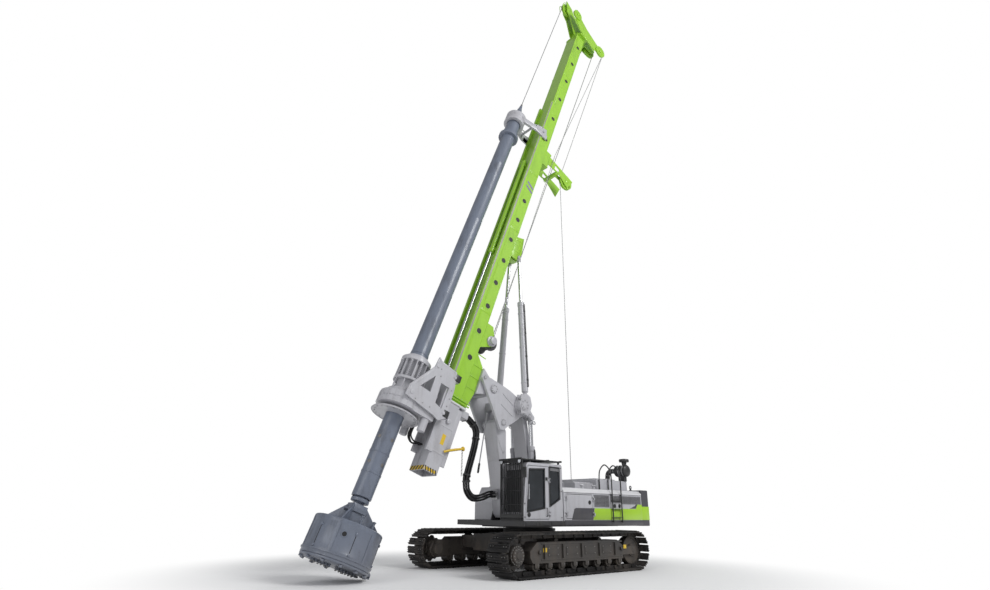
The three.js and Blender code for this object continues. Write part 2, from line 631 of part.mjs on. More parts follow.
function airCleaner() {
  const c = cleaner;
  const seat = hood.top + hood.plinth + SEAT;
  const z = seat + c.up;
  const pipe = bentBar([[c.x + 40, c.y0 + 20, z], [c.x + 40, c.y0 - 200, z + 10], [c.x + 40, c.y0 - 330, z - 40],
    [c.x + 40, c.y0 - 380, z - 160], [c.x + 40, c.y0 - 385, seat - 20]], 85, 7, 6);
  const body = join(pinY([c.x, z], c.radius, c.y0, c.y1, 14), box(c.x - 50, c.x + 90, c.y0 + 120, c.y1 - 120, seat, z - 100), pipe,
    rodZ([c.x, c.y1 - 150], 80, z + 100, z + 340), rodZ([c.x, c.y1 - 150], 170, z + 330, z + 400));
  return cut(body, box(c.x - 300, c.x + 300, 0, c.y1 + 50, seat - 200, seat));
}

add('air_cleaner', airCleaner(), 'black');

// hoops beside the steps up the hood: short legs stand on the hood, long legs run down to the deck
function handrails() {
  const y = deck.halfWidth + 60;
  const low = deck.high - 40;
  const inner = hood.top + SEAT;
  const hoop = (x) => bentBar([[x, y, low], [x, y, inner + 380], [x, y - 60, inner + 620], [x, y - 250, inner + 770],
    [x, y - 440, inner + 620], [x, y - 490, inner + 380], [x, y - 490, inner]], 20, 10, 5);
  return join(hoop(-2150), hoop(-2600), box(-2620, -2130, y - 510, y - 470, inner, inner + 8),
    ...[-2150, -2600].map((x) => box(x - 10, x + 10, deck.halfWidth + SEAT, y, low + 10, low + 40)));
}

add('handrails', handrails(), 'black');

// ---------------------------------------------------------------- boom linkage

function boom() {
  const [fx, fz] = boomFoot;
  const outline = [[-100, -110], [60, -140], [150, -20], [345, 1190], [483, 1930], [560, 2440], [600, 2560], [540, 2660],
    [430, 2690], [320, 2630], [150, 2330], [140, 1450], [-110, 640], [-150, 30]].map(([x, z]) => [fx + x, fz + z]);
  const body = join(plateY(outline, -linkWide, linkWide), box(fx + 150, hosePort[0], -110, 110, hosePort[1] - 110, hosePort[1] + 110));
  return cut(body, pinY(boomFoot, 70 + eyeGap, -600, 600, PIN),
    pinY(boomHead, 70 + eyeGap, -600, 600, PIN));
}

add('boom', boom(), 'grey');

function along([x0, z0], [x1, z1], distance) {
  const long = Math.hypot(x1 - x0, z1 - z0);
  return [x0 + ((x1 - x0) * distance) / long, z0 + ((z1 - z0) * distance) / long];
}

function supportLink() {
  const long = Math.hypot(linkHead[0] - linkFoot[0], linkHead[1] - linkFoot[1]);
  return cut(join(barY(along(linkFoot, linkHead, 40), along(linkFoot, linkHead, long - 40), 180, -linkWide, linkWide),
    pinY(linkFoot, 105, -linkWide, linkWide), pinY(linkHead, 115, -linkWide, linkWide)),
  pinY(linkFoot, 50 + eyeGap, -600, 600, PIN), pinY(linkHead, 60 + eyeGap, -600, 600, PIN));
}

add('support_link', supportLink(), 'grey');

// a cylinder between two points in space, with its pins along Y
function cylinderBarrel(a, b, size) {
  const at = (d) => pointOn(a, b, d);
  const neck = bar(at(size.eye * 0.8), at(size.neck + 5), size.outer * 0.6);
  const barrel = join(neck, bar(at(size.neck), at(size.barrel), size.outer));
  const bore = bar(at(size.boreFrom), at(size.barrel + 20), size.rod + RUN);
  const half = size.eyeWidth / 2;
  return cut(join(barrel, pinY([a[0], a[2]], size.eye, a[1] - half, a[1] + half)), bore,
    pinY([a[0], a[2]], size.pin + eyeGap, a[1] - 300, a[1] + 300, PIN));
}

function cylinderRod(a, b, size) {
  const long = new THREE.Vector3(...a).distanceTo(new THREE.Vector3(...b));
  const half = size.headWidth / 2;
  const rod = bar(pointOn(a, b, size.rodFrom), pointOn(a, b, long - size.headEye * 0.8), size.rod);
  return join(rod, pinY([b[0], b[2]], size.headEye, b[1] - half, b[1] + half));
}

function pointOn(a, b, distance) {
  const from = new THREE.Vector3(...a);
  return from.add(new THREE.Vector3(...b).sub(from).setLength(distance)).toArray();
}

for (const [name, side] of both) {
  const a = [luffFoot[0], luffing.y, luffFoot[1]];
  const b = [luffHead[0], luffing.y, luffHead[1]];
  add(`luffing_barrel_${name}`, onSide(cylinderBarrel(a, b, luffing), side), 'grey');
  add(`luffing_rod_${name}`, onSide(cylinderRod(a, b, luffing), side), 'steel');
}

function triangleFrame() {
  const t = triangle;
  const [hx, hz] = boomHead;
  const outline = [[855, 1258], [517, 1282], [30, 1117], [-248, 1008], [-389, 938], [-650, 790], [-900, 620], [-1146, 480],
    [-1146, 402], [-812, 280], [-152, -130], [-18, -237], [116, -227]].map(([x, z]) => [hx + x, hz + z]);
  const cheek = plateY(outline, t.inner, t.outer);
  let body = join(cheek, mirrorY(cheek), pinY(crossTube, t.tubeRadius, -t.tube, t.tube, 16));
  body = join(body, pinY(boomHead, 70, -t.outer + 15, t.outer - 15, PIN), pinY(linkHead, 60, -luffing.y + 80, luffing.y - 80, PIN));
  const [lx, lz] = luffHead;
  const half = luffing.headWidth / 2 + 5;
  const corner = [[lx - 80, lz - 30], [lx, lz - 80], [lx + 90, lz - 30], [lx + 420, lz + 170], [crossTube[0], crossTube[1] - 100],
    [crossTube[0] - 100, crossTube[1] + 100], [lx + 90, lz + 230], [lx - 80, lz + 50]];
  const [tx, tz] = crossTube;
  const plate = [[tx + 125, tz - 275], [tx + 120, tz + 330], [tx - 130, tz + 365], [tx - 270, tz + 280], [tx - 335, tz + 15],
    [tx - 240, tz - 230]];
  const eye = tilting.eyeWidth / 2 + 8;
  for (const side of [1, -1]) {
    const pieces = [plateY(corner, luffing.y - half - 30, luffing.y - half), plateY(corner, luffing.y + half, luffing.y + half + 35),
      plateY(plate, t.cylinderY - eye - 30, t.cylinderY - eye), plateY(plate, t.cylinderY + eye, t.cylinderY + eye + 40),
      pinY(mastCylinderFoot, tilting.pin, t.cylinderY - eye - 15, t.cylinderY + eye + 15, PIN)];
    body = join(body, ...pieces.map((piece) => onSide(piece, side)));
  }
  // cross box behind the mast pivot
  body = join(body, box(hx - 330, hx - 60, -t.inner - 10, t.inner + 10, hz + 460, hz + 700));
  return cut(body, pinY(mastPivot, 90 + eyeGap, -600, 600, PIN));
}

add('triangle_frame', triangleFrame(), 'grey');

// [x, z] of a point [t, s] of the mast's frame
function fromMast([t, s]) {
  return [mastPivot[0] + (t - mast.pivot[0]) * Math.cos(lean) - (s - mast.pivot[1]) * Math.sin(lean),
    mastPivot[1] + (t - mast.pivot[0]) * Math.sin(lean) + (s - mast.pivot[1]) * Math.cos(lean)];
}

const [mastX, mastZ] = fromMast([0, 0]);
mastGroup.position.set(mastX, 0, mastZ);

for (const [name, side] of both) {
  const [hx, hz] = fromMast(mastCylinderHead);
  const a = [mastCylinderFoot[0], triangle.cylinderY, mastCylinderFoot[1]];
  const b = [hx, tilting.headY, hz];
  add(`mast_cylinder_barrel_${name}`, onSide(cylinderBarrel(a, b, tilting), side), 'grey');
  add(`mast_cylinder_rod_${name}`, onSide(cylinderRod(a, b, tilting), side), 'steel');
}

// ---------------------------------------------------------------- mast

function mastSupport() {
  const [t, s] = mast.pivot;
  const heel = mast.heel - SEAT;
  let body = plateY([[t - 110, s - 150], [t + 60, s - 190], [heel, s - 400], [heel, s + 480], [t + 60, s + 250],
    [t - 110, s + 130], [t - 170, s]], -400, 400);
  body = cut(body, box(t + 140, heel - 60, -300, 300, s - 600, s + 600));
  return join(body, pinY([t, s], 90, -triangle.outer - 25, triangle.outer + 25, PIN));
}

add('mast_support', mastSupport(), 'grey', mastGroup);

function mastBox() {
  const m = mast;
  const w = m.wall;
  const half = m.halfWidth;
  let body = box(m.rear, m.front, -half, half, m.foot + SEAT, m.top);
  // heel behind the foot, and the rails along the front edges
  body = join(body, plateY([[m.heel, m.foot + 560], [m.rear - 250, m.foot + 40], [m.rear - 250, m.foot + SEAT], [m.rear + 10, m.foot + SEAT],
    [m.rear + 10, m.heelTop], [m.rear - 60, m.heelTop], [m.heel, m.heelTop - 300]].reverse(), -half + 40, half - 40));
  for (const side of [1, -1]) {
    body = join(body, onSide(box(m.front - 60, m.front + m.railDeep, half - 60, half + m.rail, m.foot + 200, m.railTop), side));
  }
  body = cut(body, box(m.rear + w, m.front - w, -half + w, half - w, m.foot - 10, m.top + 10));
  for (const s of m.holes) body = cut(body, pinY([4620, s], m.holeRadius, -half - 10, half + 10, 6));
  // brackets of the mast cylinders
  const [t, s] = mastCylinderHead;
  const outline = [[m.rear + 10, s + 80], [m.rear + 10, s + 660], [t + 15, s + 880], [t - 100, s + 150], [t - 110, s - 60],
    [t, s - 120], [m.rear + 10, s - 200]];
  body = join(body, plateY(outline, -135, 135));
  return body;
}

add('mast', mastBox(), 'green', mastGroup);

function lowerMast() {
  const f = foot;
  const half = mast.halfWidth;
  let body = box(f.rear, f.front, -half, half, f.low, mast.foot - 60);
  body = join(body, box(f.rear - 190, f.front + 20, -half - 10, half + 10, mast.foot - 70, mast.foot));
  body = cut(body, box(f.rear + f.wall, f.front - f.wall, -half + f.wall, half - f.wall, f.low - 10, mast.foot + 10));
  body = join(body, box(hoseBlock[0], f.rear + 5, -90, 210, hoseBlock[1] - 105, mast.foot));
  for (const side of [1, -1]) {
    body = join(body, onSide(box(f.front - 60, mast.front + mast.railDeep, half - 60, half + mast.rail, f.low + 500, mast.foot - 1), side));
  }
  // groove down the front, and the roots of the limit arms
  body = cut(body, box(f.front - 15, f.front + 5, -70, 70, f.low + 100, mast.foot - 200));
  for (const side of [1, -1]) {
    body = join(body, onSide(barY([f.rear + 60, f.low + 670], [f.rear - 430, f.low + 960], 60, half - 10, half + 50), side));
  }
  return body;
}

add('lower_mast', lowerMast(), 'grey', mastGroup);

// ---------------------------------------------------------------- mast head, sheaves and ropes' guides

const head = { // [t, s] of the sheaves; s from the top of the mast
  front: [5690, mast.top + 1430], rear: [3750, mast.top + 420], frontRadius: 360, rearRadius: 330,
  nearFront: [5330, mast.top + 1000], nearRear: [3430, mast.top + 330], nearY: 500,
};
const auxiliary = { sheave: [3030, 13960], radius: 330, y: 285, low: 13770, high: 14530 };

function mastHead() {
  const m = mast;
  const low = m.top + SEAT;
  const at = (outline) => outline.map(([t, s]) => [t, m.top + s]);
  const centre = plateY(at([[4960, 220], [5450, 960], [5760, 1180], [5980, 1800], [5560, 1640], [5280, 1350], [4400, 1250],
    [3600, 800], [3500, 500], [3640, 260], [4100, 220]]), 105, 150);
  let body = join(box(m.rear - 120, m.front - 90, -m.halfWidth, m.halfWidth + 100, low + 170, low + 240),
    box(m.rear + 30, m.front - 130, -m.halfWidth + 40, m.halfWidth - 40, low, low + 180),
    box(m.rear, m.front, -m.halfWidth, m.halfWidth, low, low + 30));
  body = join(body, centre, mirrorY(centre), box(4150, 4900, -120, 120, m.top + 200, m.top + 900));
  // second line's arm on the cab side, with its own two sheaves
  const near = plateY(at([[5300, 730], [5560, 1130], [5530, 1260], [5250, 1230], [4530, 860], [3160, 470], [3200, 250], [3900, 80],
    [4400, 190], [4840, 320]]), head.nearY - 70, head.nearY - 40);
  body = join(body, near, pinY(head.nearFront, 260, head.nearY - 45, head.nearY + 25, 16),
    pinY(head.nearRear, 300, head.nearY - 45, head.nearY + 25, 16), box(4300, 4800, 100, head.nearY - 60, m.top + 300, m.top + 420));
  return join(body, pinY(head.front, 60, -150, 150, PIN), pinY(head.rear, 60, -150, 150, PIN));
}

add('mast_head', mastHead(), 'green', mastGroup);

function sheave(centre, radius, bore, y0, y1) {
  const middle = (y0 + y1) / 2;
  const half = (y1 - y0) / 2;
  const profile = [[bore, -half], [radius, -half], [radius, -half + 12], [radius - 45, -8], [radius - 45, 8],
    [radius, half - 12], [radius, half], [bore, half], [bore, -half]];
  const geometry = new THREE.LatheGeometry(profile.map(([r, h]) => new THREE.Vector2(r, h)), 20);
  return solid(geometry.translate(centre[0], middle, centre[1]));
}

add('front_sheave', sheave(head.front, head.frontRadius, 60 + eyeGap, -50, 50), 'dark', mastGroup);
add('rear_sheave', sheave(head.rear, head.rearRadius, 60 + eyeGap, -50, 50), 'dark', mastGroup);

function auxFrame() {
  const m = mast;
  const a = auxiliary;
  const [t, s] = a.sheave;
  const arm = cut(plateY([[m.rear - 240, s - 20], [m.rear - 240, s + 400], [t - 290, s + 240], [t - 190, s - 300], [t + 430, s - 10]].reverse(),
    a.y + 55, a.y + 85), plateY([[t + 520, s + 60], [t + 760, s + 60], [t + 760, s + 260], [t + 520, s + 230]], a.y + 40, a.y + 100));
  let body = join(arm, mirrorY(arm), box(m.rear - 270, m.rear - SEAT, -m.halfWidth, m.halfWidth, a.low, a.high));
  body = join(body, pinY([t + 560, s], 90, -a.y - 60, a.y + 60));
  const inner = plateY([[t - 100, s - 80], [t + 480, s - 90], [t + 620, s + 90], [t - 80, s + 90]], a.y - 85, a.y - 60);
  return join(body, inner, pinY(a.sheave, 50, a.y - 85, a.y + 85, PIN));
}

add('auxiliary_frame', auxFrame(), 'green', mastGroup);
add('auxiliary_sheave', sheave(auxiliary.sheave, auxiliary.radius, 50 + eyeGap, auxiliary.y - 45, auxiliary.y + 45), 'dark', mastGroup);

function winchFrame() {
  const m = mast;
  const [t, s] = winch.at;
  const y = winch.half + 20;
  const cheek = cut(plateY([[m.rear - SEAT, s - 400], [m.rear - SEAT, s + 510], [t + 90, s + 510], [t - 120, s + 130], [t - 120, s - 130]],
    y, y + 30), pinY(winch.at, winch.shaft + eyeGap, y - 10, y + 40, PIN));
  return join(cheek, mirrorY(cheek), box(m.rear - 30, m.rear - SEAT, -y - 30, y + 30, s - 400, s + 510));
}

add('winch_frame', winchFrame(), 'green', mastGroup);
add('winch_drum', join(pinY(winch.at, winch.drum, -winch.half + 40, winch.half - 40), pinY(winch.at, winch.flange, -winch.half, -winch.half + 40),
  pinY(winch.at, winch.flange, winch.half - 40, winch.half), pinY(winch.at, winch.shaft, -winch.half - 75, winch.half + 75, PIN)), 'dark', mastGroup);

// ---------------------------------------------------------------- crowd cylinder

add('crowd_barrel', cut(join(rodZ([crowd.t, 0], crowd.barrel, crowd.barrelLow, crowd.barrelHigh),
  box(mast.front + SEAT, crowd.t, -120, 120, crowd.barrelHigh - 300, crowd.barrelHigh - 200),
  box(mast.front + SEAT, crowd.t, -120, 120, crowd.barrelLow + 100, crowd.barrelLow + 200)),
rodZ([crowd.t, 0], crowd.rod + RUN, crowd.barrelLow - 10, crowd.barrelHigh - 60)), 'green', mastGroup);
add('crowd_rod', rodZ([crowd.t, 0], crowd.rod, crowd.rodLow, crowd.rodHigh), 'steel', mastGroup);

// ---------------------------------------------------------------- carriage and rotary drive

function carriage() {
  const m = mast;
  const c = cheek;
  const ahead = kelly.t - drive.back - 20; // face of the back plate
  let side = plateY([[6320, 2420], [6310, 2720], [5770, 3580], [5740, 3890], [5610, 3820], [5040, 3770], [4940, 3290], [4900, 2400],
    [5110, 2240], [5300, 2300]].reverse(), c.inner, c.outer);
  side = cut(side, plateY([[5420, 3230], [5120, 3230], [5140, 2575], [5380, 2640]], c.inner - 10, c.outer + 10),
    plateY([[5660, 3330], [5990, 2840], [5640, 2830]], c.inner - 10, c.outer + 10));
  let body = join(side, mirrorY(side), box(ahead - 50, ahead, -c.inner - 10, c.inner + 10, 2400, 3760));
  body = join(body, box(ahead - 50, 5900, -c.inner - 10, c.inner + 10, drive.high + 10, drive.high + 60));
  // guide shoes on the rails
  for (const end of [1, -1]) {
    for (const s of [2400, 3520]) {
      body = join(body, onSide(box(m.front - 55, ahead - 40, m.halfWidth + m.rail + RUN, c.inner + 10, s, s + 240), end));
    }
  }
  // lug of the crowd rod
  body = join(body, box(crowd.t - 45, ahead - 20, -80, 80, crowd.rodLow - 500, crowd.rodLow - SEAT));
  body = cut(body, box(kelly.t - drive.back - SEAT, kelly.t, -drive.backHalf() - SEAT, drive.backHalf() + SEAT,
    2100, drive.high + SEAT));
  return cut(body, rodZ([kelly.t, 0], drive.radius + SEAT, 2100, 2700, 24), rodZ([kelly.t, 0], drive.sleeve + 190, 2500, 4000, 24),
    ...[1, -1].map((end) => rodZ([kelly.t - 660, end * 450], drive.motor + 10, 2500, 3200)));
}

add('carriage', carriage(), 'grey', mastGroup);

function gearbox() {
  let body = rodZ([kelly.t, 0], drive.radius, drive.low, drive.high, 24);
  body = join(body, rodZ([kelly.t, 0], drive.sleeve + 180, drive.high - 10, drive.high + 130, 24));
  body = join(body, box(kelly.t - drive.back, kelly.t, -drive.backHalf(), drive.backHalf(), drive.low, drive.high));
  for (const side of [1, -1]) {
    body = join(body, rodZ([kelly.t - 660, side * 450], drive.motor, 1800, drive.low + 10, 20));
    body = join(body, rodZ([kelly.t - 660, side * 450], drive.motor - 5, drive.high - 10, 3150, 20));
  }
  return cut(body, rodZ([kelly.t, 0], drive.sleeve + 1.4, drive.low - 20, drive.high + 200, RING));
}

add('rotary_gearbox', gearbox(), 'grey', mastGroup);

function driveSleeve() {
  const axis = [kelly.t, 0];
  const ring = drive.sleeve + drive.rib;
  let body = rodZ(axis, drive.sleeve, drive.sleeveLow, drive.sleeveHigh, RING);
  body = join(body, rodZ(axis, drive.disc, drive.sleeveLow, drive.sleeveLow + 90, 28));
  body = join(body, rodZ(axis, ring, drive.cage - 40, drive.cage + 40, 20), rodZ(axis, ring, drive.sleeveHigh - 120, drive.sleeveHigh, 20));
  body = cut(body, rodZ(axis, kelly.radius + RUN, drive.sleeveLow - 10, drive.sleeveHigh + 10, 20));
  for (let i = 0; i < 8; i += 1) {
    const a = (i / 8) * 2 * Math.PI;
    const r = drive.sleeve + 95;
    body = join(body, rodZ([kelly.t + r * Math.cos(a), r * Math.sin(a)], 32, drive.cage + 30, drive.sleeveHigh - 110, 6));
  }
  return body;
}

add('drive_sleeve', driveSleeve(), 'grey', mastGroup);

// ---------------------------------------------------------------- kelly bar, guide and bucket

function kellyGuide() {
  const g = guide;
  const rail = mast.halfWidth + mast.rail + RUN;
  let frame = rodZ([kelly.t, 0], kelly.radius + g.ring, g.low, g.high + 140, 20);
  const arm = join(plateZ([[kelly.t - 60, 180], [kelly.t - 60, 290], [5270, rail + 60], [4660, rail + 60], [4660, rail], [5200, rail], [5600, 260]],
    g.low + 230, g.high + 130), plateY([[4660, g.high - 90], [4780, g.armHigh + 20], [5270, g.high + 230], [5270, g.low + 230]], rail, rail + 60));
  frame = join(frame, arm, mirrorY(arm), box(5330, 5380, -rail, rail, g.low + 330, g.high + 150));
  // shoes that hook behind the rails
  for (const side of [1, -1]) {
    frame = join(frame, onSide(box(mast.front - 90, mast.front - 60 - RUN, mast.halfWidth + RUN, rail + 10, g.low + 330, g.high + 230), side));
  }
  return cut(frame, rodZ([kelly.t, 0], kelly.radius + 12, g.low - 100, g.high + 500, 20));
}

add('kelly_guide', kellyGuide(), 'grey', mastGroup);

function kellyOuter() {
  const bore = kelly.radius - kelly.wall;
  let body = tubeZ([kelly.t, 0], kelly.radius, bore, kelly.low, kelly.high, 20);
  body = join(body, tubeZ([kelly.t, 0], kelly.radius + 120, bore, kelly.flange, kelly.flange + 120, 20));
  return join(body, tubeZ([kelly.t, 0], kelly.radius + 70, bore, guide.high + 140 + RUN, kelly.high, 20));
}

add('kelly_outer', kellyOuter(), 'slate', mastGroup);

function kellyInner() {
  const k = kelly;
  const r = k.innerRadius;
  const shoulder = k.high + 20;
  let body = tubeZ([k.t, 0], r, r - k.innerWall, k.low - 100, shoulder + 30, 16);
  body = join(body, tubeZ([k.t, 0], r + 60, r - 60, k.low - 120, k.low - 30, 16));
  body = join(body, tubeZ([k.t, 0], r, 60, shoulder, shoulder + 100, 16));
  body = join(body, rodZ([k.t, 0], 75, shoulder + 40, k.headHigh));
  body = join(body, rodZ([k.t, 0], r, k.low - 110, k.low - 80, 16));
  // guide collars that run in the outer tube
  for (const z of [k.low + 40, k.high - 440]) {
    body = join(body, tubeZ([k.t, 0], k.radius - k.wall - RUN, r - 20, z, z + 120));
  }
  body = join(body, box(k.t - k.stub, k.t + k.stub, -k.stub, k.stub, k.stubLow, k.low - 100));
  return cut(body, rodZ([k.t, 0], 60, k.stubLow - 10, k.low));
}

add('kelly_inner', kellyInner(), 'slate', mastGroup);

function bucketShell() {
  const b = bucket;
  let body = tubeZ([b.t, 0], b.radius, b.radius - b.wall, b.low, b.high, 24);
  body = join(body, rodZ([b.t, 0], b.radius, b.high - 60, b.high, 24));
  const socket = cut(box(kelly.t - 190, kelly.t + 190, -190, 190, b.high - 5, b.socketHigh),
    box(kelly.t - kelly.stub - SEAT, kelly.t + kelly.stub + SEAT, -kelly.stub - SEAT, kelly.stub + SEAT,
      kelly.stubLow - SEAT, b.socketHigh + 10));
  // lugs that carry the gate's hinge
  const wallAt = b.t - b.radius;
  const lug = plateY([[b.hinge[0] - 45, b.hinge[1] - 40], [wallAt - 5, b.hinge[1] - 40], [wallAt - 5, b.low + 5],
    [wallAt + 60, b.low + 5], [wallAt + 60, b.low + 160], [b.hinge[0] - 45, b.hinge[1] + 60]], 125, 165);
  return join(body, socket, cut(join(lug, mirrorY(lug)), rodZ([b.t, 0], b.radius - 20, b.low - 10, b.low + 300, 24)),
    pinY(b.hinge, 22, -165, 165, PIN));
}

add('bucket', bucketShell(), 'slate', mastGroup);

function bucketGate() {
  const b = bucket;
  let body = rodZ([b.t, 0], b.radius - 5, b.low - 70, b.low - RUN, 24);
  for (let i = 0; i < 6; i += 1) {
    const d = 120 + 90 * i;
    for (const side of [1, -1]) body = join(body, box(b.t + side * d - 30, b.t + side * d + 30, -60, 60, b.low - 150, b.low - 60));
  }
  const ear = cut(join(pinY(b.hinge, 45, -120, 120, 16), box(b.hinge[0], b.t - b.radius + 100, -120, 120,
    b.low - 65, b.low - RUN)), pinY(b.hinge, 22 + eyeGap, -130, 130, PIN));
  return join(body, ear);
}

add('bucket_gate', bucketGate(), 'slate', mastGroup);

// ---------------------------------------------------------------- hose bundles

const hoseRadius = 100;
const [hoseX, hoseZ] = fromMast([hoseBlock[0] - SEAT, hoseBlock[1]]);
const nextHose = fromMast([hoseBlock[0] - 140, hoseBlock[1]]);
const joint = [boomHead[0] + 1070, 150, boomHead[1] - 1715]; // where the two bundles meet under the triangle
const upperRoute = [[hoseX, 60, hoseZ], [nextHose[0], 60, nextHose[1]], [joint[0] - 350, 85, joint[2] + 1470],
  [joint[0] - 310, 120, joint[2] + 1060], [joint[0] - 70, 145, joint[2] + 320], [joint[0], 150, joint[2] + 100], joint];
const lowerRoute = [[joint[0], 150, joint[2] - 1], [joint[0], 150, joint[2] - 100], [joint[0] - 50, 145, joint[2] - 280],
  [joint[0] - 260, 120, joint[2] - 440], [joint[0] - 620, 60, joint[2] - 430], [hosePort[0] + 220, 0, hosePort[1]],
  [hosePort[0] + SEAT, 0, hosePort[1]]];

add('hose_bundle_upper', bentBar(upperRoute, hoseRadius, 20, 8), 'black');
add('hose_bundle_lower', bentBar(lowerRoute, hoseRadius, 18, 8), 'black');

// hoses of the rotary drive, from the lower mast to the gearbox
const droop = [kelly.t - drive.back + 90, -225];
const driveRoute = [[foot.front + SEAT, droop[1], 1730], [foot.front + 100, droop[1], 1730], [droop[0] - 60, droop[1], 1690],
  [droop[0], droop[1], 1820], [droop[0], droop[1], drive.low - 100], [droop[0], droop[1], drive.low - SEAT]];
add('drive_hoses', bentBar(driveRoute, 45, 14, 8), 'black', mastGroup);

// stand the rig on its origin: the middle of its bounding box, on the ground
rig.updateMatrixWorld(true);
const middle = new THREE.Box3().setFromObject(rig, true).getCenter(new THREE.Vector3());
rig.position.set(-middle.x, -middle.y, 0);

export default rig;
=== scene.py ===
"""Looks of the rotary piling rig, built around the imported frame.

Metres. X points forward, Y to the cab side, Z up, as in the frame. Lengths in the helpers are metres too.
"""
import json
import math

import bmesh
import bpy
from mathutils import Matrix, Vector

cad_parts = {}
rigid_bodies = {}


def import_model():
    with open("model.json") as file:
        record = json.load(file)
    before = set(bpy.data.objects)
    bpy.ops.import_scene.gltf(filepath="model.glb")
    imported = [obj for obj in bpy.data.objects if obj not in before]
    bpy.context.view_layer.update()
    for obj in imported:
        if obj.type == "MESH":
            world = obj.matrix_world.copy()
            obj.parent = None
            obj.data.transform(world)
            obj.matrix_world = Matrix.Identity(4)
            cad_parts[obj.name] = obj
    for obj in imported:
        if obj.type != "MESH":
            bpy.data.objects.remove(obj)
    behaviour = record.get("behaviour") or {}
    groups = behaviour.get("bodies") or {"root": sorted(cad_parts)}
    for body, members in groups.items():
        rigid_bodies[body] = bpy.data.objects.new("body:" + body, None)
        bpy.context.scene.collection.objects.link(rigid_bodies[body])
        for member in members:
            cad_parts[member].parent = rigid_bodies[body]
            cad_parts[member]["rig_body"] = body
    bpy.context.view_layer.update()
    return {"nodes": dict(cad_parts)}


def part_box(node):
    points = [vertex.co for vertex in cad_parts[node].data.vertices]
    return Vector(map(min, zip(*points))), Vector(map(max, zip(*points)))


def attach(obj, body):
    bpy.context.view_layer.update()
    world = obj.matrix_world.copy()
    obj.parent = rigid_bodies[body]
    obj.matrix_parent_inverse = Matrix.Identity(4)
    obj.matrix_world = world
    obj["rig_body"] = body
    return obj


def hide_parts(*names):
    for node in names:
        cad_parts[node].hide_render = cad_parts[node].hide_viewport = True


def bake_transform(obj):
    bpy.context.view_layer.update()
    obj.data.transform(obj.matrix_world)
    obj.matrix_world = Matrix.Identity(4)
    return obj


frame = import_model()

# ------------------------------------------------------------------ places

car_low, car_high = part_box("carbody")
RIG = Matrix.Translation(((car_low.x + car_high.x) / 2, 0, 0))  # from the slewing axis to the frame's origin
LEAN = math.radians(20.2)  # the mast leans back from the vertical
MAST_PIVOT = (1.917, 0, 5.055)
PIVOT_ON_MAST = (3.545, 0, 4.082)
# the mast's own points are (forward off the mast, across, up along it)
MAST = (RIG @ Matrix.Translation(MAST_PIVOT) @ Matrix.Rotation(-LEAN, 4, "Y")
        @ Matrix.Translation([-v for v in PIVOT_ON_MAST]))

DECK = 1.344
CAB_OUTER, CAB_INNER, CAB_HIGH = 1.5, 0.53, DECK + 1.546
HOOD_HIGH, HOOD_TOP = DECK + 0.852, DECK + 0.912
PLINTH_TOP = HOOD_TOP + 0.33
BOOM_HEAD, LINK_HEAD = (1.52, 4.095), (0.43, 4.39)
CROSS_TUBE = (0.867, 4.668)
KELLY = 6.04  # the kelly bar's axis, forward off the mast
SHEAVE_FRONT, SHEAVE_REAR, SHEAVE_AUX = (5.69, 24.03), (3.75, 23.02), (3.03, 13.96)
NEAR_FRONT, NEAR_REAR = (5.33, 23.6), (3.43, 22.93)  # the two wheels on the head's near side
WINCH = (4.06, 5.53)
RAISING_EYE = (4.0, 0.24, 9.15)

# ------------------------------------------------------------------ materials


class Flow:
    """A node's output in one finish, which can be used in sums."""

    def __init__(self, finish, socket):
        self.finish, self.socket = finish, socket

    def maths(self, operation, *values):
        return self.finish.node("Math", {"operation": operation}, *values)

    def __add__(self, other):
        return self.maths("ADD", self, other)

    __radd__ = __add__

    def __sub__(self, other):
        return self.maths("SUBTRACT", self, other)

    def __rsub__(self, other):
        return self.maths("SUBTRACT", other, self)

    def __mul__(self, other):
        return self.maths("MULTIPLY", self, other)

    __rmul__ = __mul__

    def band(self, low, high):
        """0 below low, 1 above high and smooth between them."""
        return self.finish.node("MapRange", {"interpolation_type": "SMOOTHSTEP"}, self, low, high, 0.0, 1.0)


class Finish:
    """A material, built up from its nodes."""

    def __init__(self, name):
        self.material = bpy.data.materials.new(name)
        self.material.use_nodes = True
        self.tree = self.material.node_tree
        self.shader = self.tree.nodes["Principled BSDF"]
        self.place = self.node("TexCoord", out="Object")

    def node(self, kind, settings=None, *values, out=0, **sockets):
        made = self.tree.nodes.new("ShaderNode" + kind)
        for key, value in (settings or {}).items():
            setattr(made, key, value)
        for key, value in [*enumerate(values), *sockets.items()]:
            self.feed(made.inputs[key], value)
        return Flow(self, made.outputs[out])

    def feed(self, socket, value):
        if isinstance(value, Flow):
            self.tree.links.new(value.socket, socket)
        elif value is not None:
            socket.default_value = value

    def surface(self, **sockets):
        for key, value in sockets.items():
            self.feed(self.shader.inputs[key.replace("_", " ")], value)
        return self.material

    def noise(self, scale, detail=4.0, stretch=(1, 1, 1)):
        place = self.node("Mapping", None, self.place, Scale=stretch)
        return self.node("TexNoise", None, Vector=place, Scale=scale, Detail=detail)

    def height(self):
        return self.node("SeparateXYZ", None, self.place, out=2)

    def mix(self, amount, first, second):
        colours = [v if isinstance(v, Flow) else (*v, 1) for v in (first, second)]
        made = self.tree.nodes.new("ShaderNodeMix")
        made.data_type = "RGBA"
        for key, value in ((0, amount), (6, colours[0]), (7, colours[1])):
            self.feed(made.inputs[key], value)
        return Flow(self, made.outputs[2])

    def bump(self, height, depth, strength=1.0):
        return self.node("Bump", None, Height=height, Distance=depth, Strength=strength)


